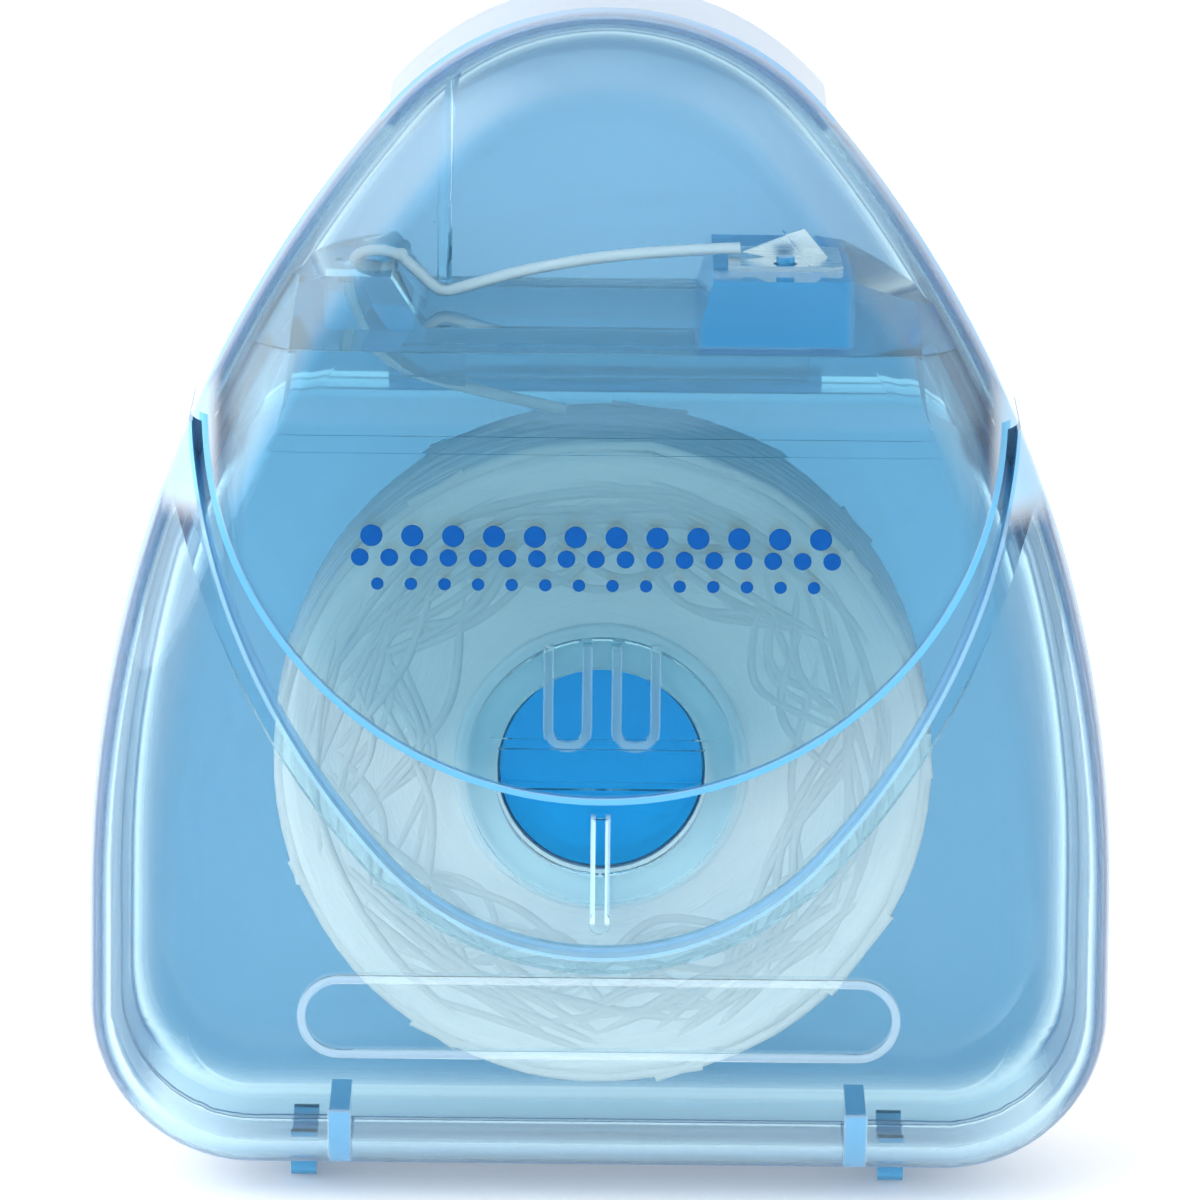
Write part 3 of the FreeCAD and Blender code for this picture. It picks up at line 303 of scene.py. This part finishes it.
def stepped(tree, value, start, stop, low=0.0, high=1.0):
    """Smooth step of a value between two places."""
    made = node(tree, "ShaderNodeMapRange", From_Min=start, From_Max=stop, To_Min=low, To_Max=high)
    made.interpolation_type = "SMOOTHSTEP"
    tree.links.new(value, made.inputs["Value"])
    return made.outputs["Result"]


def parts_of(tree, vector):
    made = tree.nodes.new("ShaderNodeSeparateXYZ")
    tree.links.new(vector, made.inputs["Vector"])
    return made.outputs


def math_of(tree, kind, first, second=None):
    made = tree.nodes.new("ShaderNodeMath")
    made.operation = kind
    for socket, value in zip(made.inputs, (first, second)):
        if isinstance(value, (int, float)):
            socket.default_value = value
        elif value is not None:
            tree.links.new(value, socket)
    return made.outputs["Value"]


def times(tree, first, second):
    return math_of(tree, "MULTIPLY", first, second)


def plus(tree, first, second):
    return math_of(tree, "ADD", first, second)


def minus(tree, first, second):
    return math_of(tree, "SUBTRACT", first, second)


def larger(tree, first, second):
    return math_of(tree, "MAXIMUM", first, second)


def smaller(tree, first, second):
    return math_of(tree, "MINIMUM", first, second)


def unsigned(tree, value):
    return math_of(tree, "ABSOLUTE", value)


def below(tree, value, limit):
    """One where a place is under a limit in millimetres."""
    return math_of(tree, "LESS_THAN", value, limit * MM)


def away_from(tree, place, x, z):
    """Distance from a line along Y, in millimetres."""
    across = minus(tree, place["X"], x * MM)
    up = minus(tree, place["Z"], z * MM)
    squares = plus(tree, times(tree, across, across), times(tree, up, up))
    return times(tree, math_of(tree, "SQRT", squares), 1 / MM)


def near(tree, distance, width):
    """One where a distance is about zero, nothing beyond the width."""
    return stepped(tree, unsigned(tree, distance), width * 0.6, width, 1.0, 0.0)


def between(tree, value, low, high, soft=0.15):
    """One between two places in millimetres, with soft ends."""
    rise = stepped(tree, value, (low - soft) * MM, (low + soft) * MM)
    fall = stepped(tree, value, (high - soft) * MM, (high + soft) * MM, 1.0, 0.0)
    return times(tree, rise, fall)


def chosen(tree, where, first, second):
    """The first value where the mark is one, the second where it is nothing."""
    rest = minus(tree, 1.0, where)
    return plus(tree, times(tree, where, first), times(tree, rest, second))


def flap_line(tree, place):
    """Edge of the cap's flap, a circle below the rim."""
    off = minus(tree, away_from(tree, place, 0, FLAP_Z), FLAP_RADIUS - FLAP_LINE_INSET)
    low = below(tree, place["Z"], FLAP_Z - FLAP_LINE_END)
    return times(tree, near(tree, off, FLAP_LINE_WIDTH), times(tree, low, FLAP_LINE_SHARE))


def recess_line(tree, place):
    """Edge of the recess: an arc at the bottom that runs into two wider arcs at the sides."""
    low_z = RECESS_BOTTOM_Z + RECESS_ROUND
    rise = RECESS_WIDE_Z - low_z
    side = (RECESS_HALF**2 + rise**2 - RECESS_ROUND**2) / (2 * (RECESS_HALF - RECESS_ROUND))
    lean = math.atan2(-rise, side - RECESS_HALF)
    width = unsigned(tree, place["X"])
    up = minus(tree, place["Z"], low_z * MM)
    along = minus(tree, times(tree, up, math.cos(lean)), times(tree, width, math.sin(lean)))
    beside = math_of(tree, "GREATER_THAN", along, 0.0)
    mirrored = {"X": width, "Z": place["Z"]}
    wide = minus(tree, away_from(tree, mirrored, RECESS_HALF - side, RECESS_WIDE_Z), side)
    under = minus(tree, away_from(tree, place, 0, low_z), RECESS_ROUND)
    line = near(tree, chosen(tree, beside, wide, under), RECESS_LINE_WIDTH)
    return times(tree, line, times(tree, below(tree, place["Y"], FRONT_Y), RECESS_LINE_SHARE))


def tongue_lines(tree, place):
    """Outlines of the two slotted spring tongues."""
    low = smaller(tree, place["Z"], TONGUE_TURN_Z * MM)
    mirrored = {"X": unsigned(tree, place["X"]), "Z": low}
    off = minus(tree, away_from(tree, mirrored, TONGUE_X, TONGUE_TURN_Z), SLOT_RADIUS)
    line = times(tree, near(tree, off, TONGUE_LINE_WIDTH), between(tree, place["Z"], 0, TONGUE_TOP_Z))
    return times(tree, line, TONGUE_SHARE)


def rib_lines(tree, place):
    """Two sides of the thumb rib."""
    off = times(tree, minus(tree, unsigned(tree, place["X"]), RIB_HALF * MM), 1 / MM)
    tall = between(tree, place["Z"], RIB_BOTTOM_Z, RIB_TOP_Z)
    return times(tree, times(tree, near(tree, off, RIB_LINE_WIDTH), tall), RIB_SHARE)


def frame_line(tree, place):
    """Stadium-shaped frame, low on the case."""
    straight = FRAME_HALF - FRAME_ROUND
    past = {"X": larger(tree, unsigned(tree, place["X"]), straight * MM), "Z": place["Z"]}
    off = minus(tree, away_from(tree, past, straight, FRAME_Z), FRAME_ROUND - FRAME_LINE_INSET)
    return times(tree, near(tree, off, FRAME_LINE_WIDTH), FRAME_SHARE)


def front_lines(tree, place):
    """Pale outlines of the tongues, the rib and the frame, on the front wall alone."""
    lines = larger(tree, tongue_lines(tree, place), rib_lines(tree, place))
    lines = larger(tree, lines, frame_line(tree, place))
    return times(tree, lines, below(tree, place["Y"], FRONT_Y))


def root_posts(tree, place):
    """Upright ribs on the bottom wall beside the hinge loops."""
    width = unsigned(tree, place["X"])
    beside = between(tree, width, ROOT_X - ROOT_HALF, ROOT_X + ROOT_HALF, ROOT_SOFT)
    tall = between(tree, place["Z"], ROOT_BOTTOM_Z, ROOT_TOP_Z)
    return times(tree, beside, times(tree, tall, ROOT_SHARE))


def hub_face(tree, place):
    """Front of the hub post."""
    off = away_from(tree, place, 0, SPOOL_Z)
    inside = stepped(tree, off, HUB_FACE_RADIUS, HUB_FACE_END, HUB_SHARE, 0.0)
    return times(tree, inside, below(tree, place["Y"], 0.0))


def neck_haze(tree, place):
    """Slight haze of the neck and deck inside the hood."""
    return times(tree, between(tree, place["Z"], NECK_BOTTOM_Z, NECK_TOP_Z, NECK_SOFT), NECK_SHARE)


def block_face(tree, place):
    """Thick block at the right of the deck, under the cutter."""
    wide = between(tree, place["X"], BLOCK_LEFT, BLOCK_RIGHT, BLOCK_SOFT)
    tall = between(tree, place["Z"], BLOCK_BOTTOM_Z, BLOCK_TOP_Z)
    return times(tree, wide, times(tree, tall, BLOCK_SHARE))


def loop_tint(tree, place):
    """Tint of the hinge loops, which lie low."""
    return stepped(tree, place["Z"], LOOP_FULL_Z * MM, LOOP_END_Z * MM, LOOP_SHARE, 0.0)


def shoulder_sheen(tree, place):
    """Outer corners of case and hood beside the rim, where a painted pale sheen goes."""
    width = unsigned(tree, place["X"])
    out = stepped(tree, width, SHOULDER_START_X * MM, SHOULDER_FULL_X * MM)
    return times(tree, out, between(tree, place["Z"], SHOULDER_BOTTOM_Z, SHOULDER_TOP_Z, SHOULDER_SOFT))


def back_shade_mask(tree, place, across):
    """Mask of the painted shade: one on the walls that face the back, less behind the hub."""
    behind = stepped(tree, place["Y"], BACK_START_Y * MM, BACK_FULL_Y * MM)
    off = away_from(tree, place, 0, SPOOL_Z)
    hub = stepped(tree, off, HUB_BACK_RADIUS, HUB_BACK_END, HUB_BACK_SHARE, 1.0)
    return times(tree, times(tree, behind, hub), stepped(tree, across, 0.3, 0.8))


def edge_band(tree, place, facing, across, share):
    """Full on faces just off the sides, less on the flat sides, nothing on level faces."""
    side = stepped(tree, across, 0.10, 0.38, share, 0.0)
    side = times(tree, side, stepped(tree, across, 0.01, 0.06, FLAT_SIDE, 1.0))
    crown = stepped(tree, place["Z"], CROWN_START_Z * MM, CROWN_FULL_Z * MM, 1.0, CROWN_SHARE)
    inner = between(tree, place["Z"], LEVEL_BOTTOM_Z, LEVEL_TOP_Z, LEVEL_SOFT)
    level = larger(tree, times(tree, facing["Z"], crown), times(tree, unsigned(tree, facing["Z"]), inner))
    return times(tree, side, stepped(tree, level, 0.5, 0.8, 1.0, 0.0))


def clear_plastic(name, density, back=BARE, neck=BARE, tints=(), edge_share=0.6, front=BARE, neck_milk=0.4):
    """Tinted clear moulding: deeper with thickness, with painted shade on the walls towards the back and a
    painted pale sheen at the outer corners beside the rim, saturated on its edges.
    """
    made, tree, shader = material(name)
    source = tree.nodes.new("ShaderNodeTexCoord")
    coords = source.outputs["Object"]
    place = parts_of(tree, coords)
    facing = parts_of(tree, source.outputs["Normal"])
    across = unsigned(tree, facing["Y"])
    # Painted shade on the walls that face the back
    behind = back_shade_mask(tree, place, across)
    side = edge_band(tree, place, facing, across, edge_share)
    # Painted pale sheen on the outer corners beside the rim
    corner_sheen = shoulder_sheen(tree, place)
    rim = (RIM_START_Z * MM, RIM_FULL_Z * MM)
    body = mixed(tree, behind, front, mixed(tree, stepped(tree, place["Z"], *rim), back, neck))
    body = mixed(tree, smaller(tree, times(tree, side, SIDE_COLOUR), 1.0), body, EDGE)
    body = mixed(tree, corner_sheen, body, SHOULDER_SHEEN)
    milk = larger(tree, times(tree, side, SIDE_MILK), times(tree, corner_sheen, MARK_MILK))
    # The painted shade on the back walls is made milky as well
    back_shade_milk = stepped(tree, place["Z"], *rim, BACK_SHADE_MILK, neck_milk)
    milk = larger(tree, milk, times(tree, behind, back_shade_milk))
    for mark, colour in tints:
        share = mark(tree, place)
        body = mixed(tree, smaller(tree, times(tree, share, MARK_COLOUR), 1.0), body, colour)
        milk = larger(tree, milk, times(tree, share, MARK_MILK))
    tree.links.new(body, shader.inputs["Base Color"])
    tree.links.new(minus(tree, 1.0, milk), shader.inputs["Transmission Weight"])
    shader.inputs["IOR"].default_value = PLASTIC_IOR
    shader.inputs["Specular IOR Level"].default_value = 0.1
    flat = stepped(tree, across, 0.90, 0.995)
    tree.links.new(mixed(tree, flat, WHITE, GLOSS_FLAT), shader.inputs["Specular Tint"])
    tree.links.new(remap(tree, noise(tree, coords, 90, 3), 0.015, 0.05), shader.inputs["Roughness"])
    bump(tree, shader, noise(tree, coords, 130, 2), 0.02, 0.0004)
    absorb = node(tree, "ShaderNodeVolumeAbsorption", Color=(*DEPTH_TINT, 1), Density=density)
    tree.links.new(absorb.outputs["Volume"], tree.nodes["Material Output"].inputs["Volume"])
    return made


def steel():
    """Bright steel with a fine grain along X."""
    made, tree, shader = material("stamped_steel")
    shader.inputs["Metallic"].default_value = 1.0
    stretch = node(tree, "ShaderNodeMapping", Scale=(300, 6000, 6000))
    tree.links.new(object_place(tree), stretch.inputs["Vector"])
    grain = noise(tree, stretch.outputs["Vector"], 1.0, 3)
    two_tone(tree, shader, grain, STEEL_TONES)
    tree.links.new(remap(tree, grain, 0.18, 0.34), shader.inputs["Roughness"])
    bump(tree, shader, grain, 0.1, 0.00002)
    return made


def pale_core():
    made, tree, shader = material("pale_core")
    cloud = noise(tree, object_place(tree), 250, 3)
    two_tone(tree, shader, cloud, CORE_TONES)
    tree.links.new(remap(tree, cloud, 0.28, 0.42), shader.inputs["Roughness"])
    bump(tree, shader, cloud, 0.05, 0.0001)
    return made


def floss_white(name):
    """Waxed white floss, before it gets its streaks."""
    made, tree, shader = material(name)
    shader.inputs["Roughness"].default_value = 0.5
    shader.inputs["Sheen Weight"].default_value = 0.2
    return made, tree, shader


def twisted_floss():
    """Fine filaments that twist round a strand, on its own UV map."""
    made, tree, shader = floss_white("floss_strand")
    turn = node(tree, "ShaderNodeMapping", Rotation=(0, 0, math.radians(35)), Scale=(9.0, 20.0, 1.0))
    tree.links.new(tree.nodes.new("ShaderNodeTexCoord").outputs["UV"], turn.inputs["Vector"])
    wave = node(tree, "ShaderNodeTexWave", Scale=1.0, Distortion=1.5, Detail=2.0)
    tree.links.new(turn.outputs["Vector"], wave.inputs["Vector"])
    two_tone(tree, shader, wave.outputs["Fac"], FLOSS_TONES)
    bump(tree, shader, wave.outputs["Fac"], 0.5, 0.00004)
    return made


def wound_floss():
    """Wavy streaks that run round the spool's axis."""
    made, tree, shader = floss_white("floss_wound")
    coords = object_place(tree)
    place = parts_of(tree, coords)
    wander = times(tree, noise(tree, coords, 140, 3), 3.0)
    spot = tree.nodes.new("ShaderNodeCombineXYZ")
    tree.links.new(plus(tree, away_from(tree, place, 0, SPOOL_Z), wander), spot.inputs["X"])
    tree.links.new(times(tree, place["Y"], 1 / MM), spot.inputs["Y"])
    tree.links.new(times(tree, wander, 0.7), spot.inputs["Z"])
    streak = noise(tree, spot.outputs["Vector"], 1.6, 5, 0.65)
    two_tone(tree, shader, streak, FLOSS_TONES)
    bump(tree, shader, streak, 0.6, 0.0003)
    return made


def ink():
    made, tree, shader = material("royal_ink")
    speck = noise(tree, object_place(tree), 2500, 2)
    two_tone(tree, shader, speck, INK_TONES)
    tree.links.new(remap(tree, speck, 0.3, 0.45), shader.inputs["Roughness"])
    shader.inputs["Specular IOR Level"].default_value = 0.05
    return made


def finished(name, bm):
    """Mesh made from a bmesh, which is freed."""
    mesh = bpy.data.meshes.new(name)
    bm.to_mesh(mesh)
    bm.free()
    return mesh


def piece(name, mesh, looks, body=None):
    made = bpy.data.objects.new(name, mesh)
    bpy.context.scene.collection.objects.link(made)
    mesh.materials.append(looks)
    if body:
        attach(made, body)
    return made


def spool_point(radius, turn, y):
    """Place at a radius and an angle about the spool's axis."""
    return Vector((radius * math.cos(turn), y + SPOOL_Y, radius * math.sin(turn) + SPOOL_Z)) * MM


def strand_curve(name, routes, fineness):
    """Round floss along smooth routes, each with its own thickness."""
    curve = bpy.data.curves.new(name, "CURVE")
    curve.dimensions = "3D"
    curve.bevel_depth = FLOSS / 2 * MM
    curve.bevel_resolution = 2
    curve.use_fill_caps = True
    for thickness, route in routes:
        spline = curve.splines.new("NURBS")
        spline.points.add(len(route) - 1)
        for point, place in zip(spline.points, route):
            point.co = (*place, 1)
            point.radius = thickness
        spline.order_u = 3
        spline.use_endpoint_u = True
        spline.resolution_u = fineness
    return curve


def floss_body():
    """Wound package: an outline turned about the spool's axis, rounded at its two outer edges."""
    bm = bmesh.new()
    corners = (
        (CORE_RADIUS, -PACKAGE_HALF), (PACKAGE_RADIUS, -PACKAGE_HALF),
        (PACKAGE_RADIUS, PACKAGE_HALF), (CORE_RADIUS, PACKAGE_HALF),
    )
    spots = [bm.verts.new(spool_point(radius, 0, y)) for radius, y in corners]
    outline = [bm.edges.new(pair) for pair in zip(spots, spots[1:] + spots[:1])]
    centre = spool_point(0, 0, 0)
    bmesh.ops.spin(
        bm, geom=spots + outline, cent=centre, axis=(0, 1, 0), angle=2 * math.pi,
        steps=PACKAGE_STEPS, use_merge=True,
    )
    rims = []
    for edge in bm.edges:
        first, second = (v.co - centre for v in edge.verts)
        level = abs(first.y - second.y) < 0.1 * MM
        outside = min(math.hypot(p.x, p.z) for p in (first, second)) > (PACKAGE_RADIUS - 0.1) * MM
        if level and outside:
            rims.append(edge)
    bmesh.ops.bevel(
        bm, geom=rims, offset=PACKAGE_EDGE * MM, offset_type="OFFSET", affect="EDGES",
        segments=EDGE_SEGMENTS, profile=0.5, material=-1,
    )
    bmesh.ops.recalc_face_normals(bm, faces=bm.faces)
    for face in bm.faces:
        face.smooth = abs(face.normal.y) < 0.99
    return finished("floss_body", bm)


def outside_turn(number, lean, start):
    """Route of one turn round the outside, from one end of the package to the other."""
    route = []
    for i in range(TURN_STEPS + 1):
        s = i / TURN_STEPS
        y = lean * (PACKAGE_HALF - TURN_ROOM) * math.sin(math.pi * (s - 0.5))
        lift = TURN_LIFT + TURN_WAVE * math.sin(TURN_WAVES * s + number)
        route.append(spool_point(PACKAGE_RADIUS + lift, start + 2 * math.pi * s * TURN_LENGTH, y))
    return route


def end_arc(end, chance):
    """Route of one arc on an end of the package, from the rim inwards and out again."""
    outer = PACKAGE_RADIUS - ARC_RIM
    start = chance.uniform(0, 2 * math.pi)
    span = chance.uniform(*ARC_SPAN)
    deep = chance.uniform(CORE_RADIUS + ARC_ROOM_IN, outer - ARC_ROOM_OUT)
    lean = chance.choice((-1, 1))
    lift = chance.uniform(0.0, ARC_LIFT)
    route = []
    for i in range(ARC_STEPS + 1):
        s = i / ARC_STEPS
        bow = math.sin(math.pi * s)
        r = outer - (outer - deep) * bow ** ARC_BOW
        y = end * (PACKAGE_HALF - ARC_SINK + lift * bow - ARC_DIP * (1 - bow) ** 3)
        route.append(spool_point(r, start + lean * span * s, y))
    return route


def floss_strands():
    """Cross-wound strands: turns on the outside, and shallow arcs that show on both ends."""
    chance = random.Random(7)
    routes = []
    for lean in (1, -1):
        for k in range(TURNS):
            start = 2 * math.pi * k / TURNS + chance.uniform(-TURN_SHIFT, TURN_SHIFT)
            routes.append((1.0, outside_turn(k, lean, start)))
    for end in (-1, 1):
        for _ in range(ARCS):
            routes.append((ARC_THICKNESS, end_arc(end, chance)))
    holder = bpy.data.objects.new("floss_strands", strand_curve("floss_strands", routes, 3))
    bpy.context.scene.collection.objects.link(holder)
    bpy.context.view_layer.update()
    mesh = bpy.data.meshes.new_from_object(holder)
    bpy.data.curves.remove(holder.data)
    mesh.name = "floss_strands"
    return mesh


def lead_strand():
    """Strand from the package round the horn, out of the deck and across to the cutter."""
    route = [Vector((x, 0, z)) * MM for x, z in LEAD]
    return strand_curve("lead_strand", [(1.0, route)], 12)


def print_dots():
    """Three rows of printed dots on the flap."""
    bm = bmesh.new()
    forward = Euler((math.pi / 2, 0, 0)).to_matrix().to_4x4()
    for count, pitch, radius, z in DOT_ROWS:
        for i in range(count):
            x = DOTS_X + (i - (count - 1) / 2) * pitch
            spot = Matrix.Translation(Vector((x, CAP_FRONT_Y - DOT_PROUD, z)) * MM)
            bmesh.ops.create_cone(
                bm, cap_ends=True, segments=DOT_SIDES, radius1=radius * MM,
                radius2=radius * DOT_TAPER * MM, depth=DOT_DEPTH * MM, matrix=spot @ forward,
            )
    bmesh.ops.recalc_face_normals(bm, faces=bm.faces)
    return finished("print_dots", bm)


def hinge_web():
    """Thin web between case and cap, thicker along its bead."""
    bm = bmesh.new()
    size = Matrix.Diagonal(Vector((WEB_WIDTH, WEB_THICKNESS, WEB_HEIGHT)) * MM).to_4x4()
    spot = Matrix.Translation(Vector((0, HINGE_Y, HINGE_Z)) * MM)
    bmesh.ops.create_cube(bm, size=1, matrix=spot @ size)
    tall = 0.5 * WEB_HEIGHT * MM
    upright = [e for e in bm.edges if abs(e.verts[0].co.z - e.verts[1].co.z) > tall]
    bmesh.ops.subdivide_edges(bm, edges=upright, cuts=WEB_CUTS, use_grid_fill=True)
    for v in bm.verts:
        off = (v.co.z / MM - HINGE_Z) / BEAD_HALF
        v.co.y = HINGE_Y * MM + (v.co.y - HINGE_Y * MM) * (1 + BEAD_RISE * math.exp(-off * off))
    bmesh.ops.recalc_face_normals(bm, faces=bm.faces)
    return finished("hinge_web", bm)


def dress_nodes(looks):
    """Gives CAD nodes their materials."""
    for name, skin in looks.items():
        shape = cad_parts[name]
        shape.data.materials.clear()
        shape.data.materials.append(skin)


def floor():
    """Plain pale floor, slightly bright by itself."""
    bm = bmesh.new()
    spot = Matrix.Translation((0, 0, FLOOR_Z))
    bmesh.ops.create_grid(bm, x_segments=1, y_segments=1, size=FLOOR_HALF, matrix=spot)
    made, tree, shader = material("pale_floor")
    paper = noise(tree, object_place(tree), 400, 3)
    tree.links.new(mixed(tree, paper, *FLOOR_TONES), shader.inputs["Base Color"])
    shader.inputs["Roughness"].default_value = 0.8
    shader.inputs["Emission Color"].default_value = (*WHITE, 1)
    shader.inputs["Emission Strength"].default_value = FLOOR_GLOW
    piece("floor", finished("floor", bm), made)


def soft_light():
    """Soft light all round, brighter from the front left, from both sides and from behind."""
    world = bpy.data.worlds.new("studio")
    bpy.context.scene.world = world
    world.use_nodes = True
    tree = world.node_tree
    way = tree.nodes.new("ShaderNodeTexCoord").outputs["Generated"]
    strength = stepped(tree, parts_of(tree, way)["Z"], 0.2, 0.95, SKY_LOW, SKY_HIGH)
    for aim, start, full, amount in LIGHTS:
        toward = tree.nodes.new("ShaderNodeVectorMath")
        toward.operation = "DOT_PRODUCT"
        toward.inputs[1].default_value = Vector(aim).normalized()
        tree.links.new(way, toward.inputs[0])
        strength = plus(tree, strength, stepped(tree, toward.outputs["Value"], start, full, 0.0, amount))
    tree.links.new(strength, tree.nodes["Background"].inputs["Strength"])
    tree.nodes["Background"].inputs["Color"].default_value = (*WHITE, 1)


def camera():
    """Camera in front and a little above, rolled as the photo is."""
    lens = bpy.data.cameras.new("camera")
    holder = bpy.data.objects.new("camera", lens)
    bpy.context.scene.collection.objects.link(holder)
    rise = math.radians(CAMERA_RISE)
    target = Vector(CAMERA_TARGET)
    holder.location = target + Vector((0, -math.cos(rise), math.sin(rise))) * CAMERA_DISTANCE
    look = (target - holder.location).to_track_quat("-Z", "Y")
    roll = Matrix.Rotation(math.radians(CAMERA_ROLL), 3, "Z")
    holder.rotation_euler = (look.to_matrix() @ roll).to_euler()
    lens.sensor_width = SENSOR_WIDTH
    lens.lens = SENSOR_WIDTH * CAMERA_DISTANCE / VIEW_WIDTH
    bpy.context.scene.camera = holder


web_clear = clear_plastic("clear_blue_web", 240, LOOP, LOOP, edge_share=0.8, front=LOOP)
loop_clear = clear_plastic("clear_blue_loops", 240, LOOP, LOOP, ((loop_tint, LOOP),), 0.8, LOOP)
front_tints = ((neck_haze, HAZE), (recess_line, LINE), (front_lines, PALE), (root_posts, LOOP))
front_clear = clear_plastic("clear_blue_front", 150, tints=front_tints)
back_tints = ((neck_haze, HAZE), (hub_face, HUB))
# The back shell and the cap carry painted shade on the walls that face the back
back_clear = clear_plastic("clear_blue_back", 240, BACK_SHADE, BACK_NECK_SHADE, back_tints, neck_milk=0.1)
cap_clear = clear_plastic("clear_blue_cap", 190, CAP_BACK_SHADE, CAP_BACK_SHADE, ((flap_line, LINE),))
deck_tints = ((neck_haze, HAZE), (block_face, HUB))
deck_clear = clear_plastic("clear_blue_deck", 70, tints=deck_tints, edge_share=0.0)
dress_nodes({
    "front_shell": front_clear,
    "back_shell": back_clear,
    "flip_cap": cap_clear,
    "case_hinge_left": loop_clear,
    "case_hinge_right": loop_clear,
    "outlet_deck": deck_clear,
    "cutter": steel(),
    "spool_core": pale_core(),
})
strand_white = twisted_floss()
package = piece("floss_body", floss_body(), wound_floss(), "spool")
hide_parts("floss_package")
strands = piece("floss_strands", floss_strands(), strand_white, "spool")
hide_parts("floss_winding")
lead = piece("lead_strand", lead_strand(), strand_white, "case")
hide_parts("floss_lead")
dots = piece("print_dots", print_dots(), ink(), "cap")
web = piece("hinge_web", hinge_web(), web_clear)
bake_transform(web)
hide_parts("cap_hinge_web")
floor()
soft_light()
camera()
bpy.context.scene.view_settings.view_transform = "Standard"
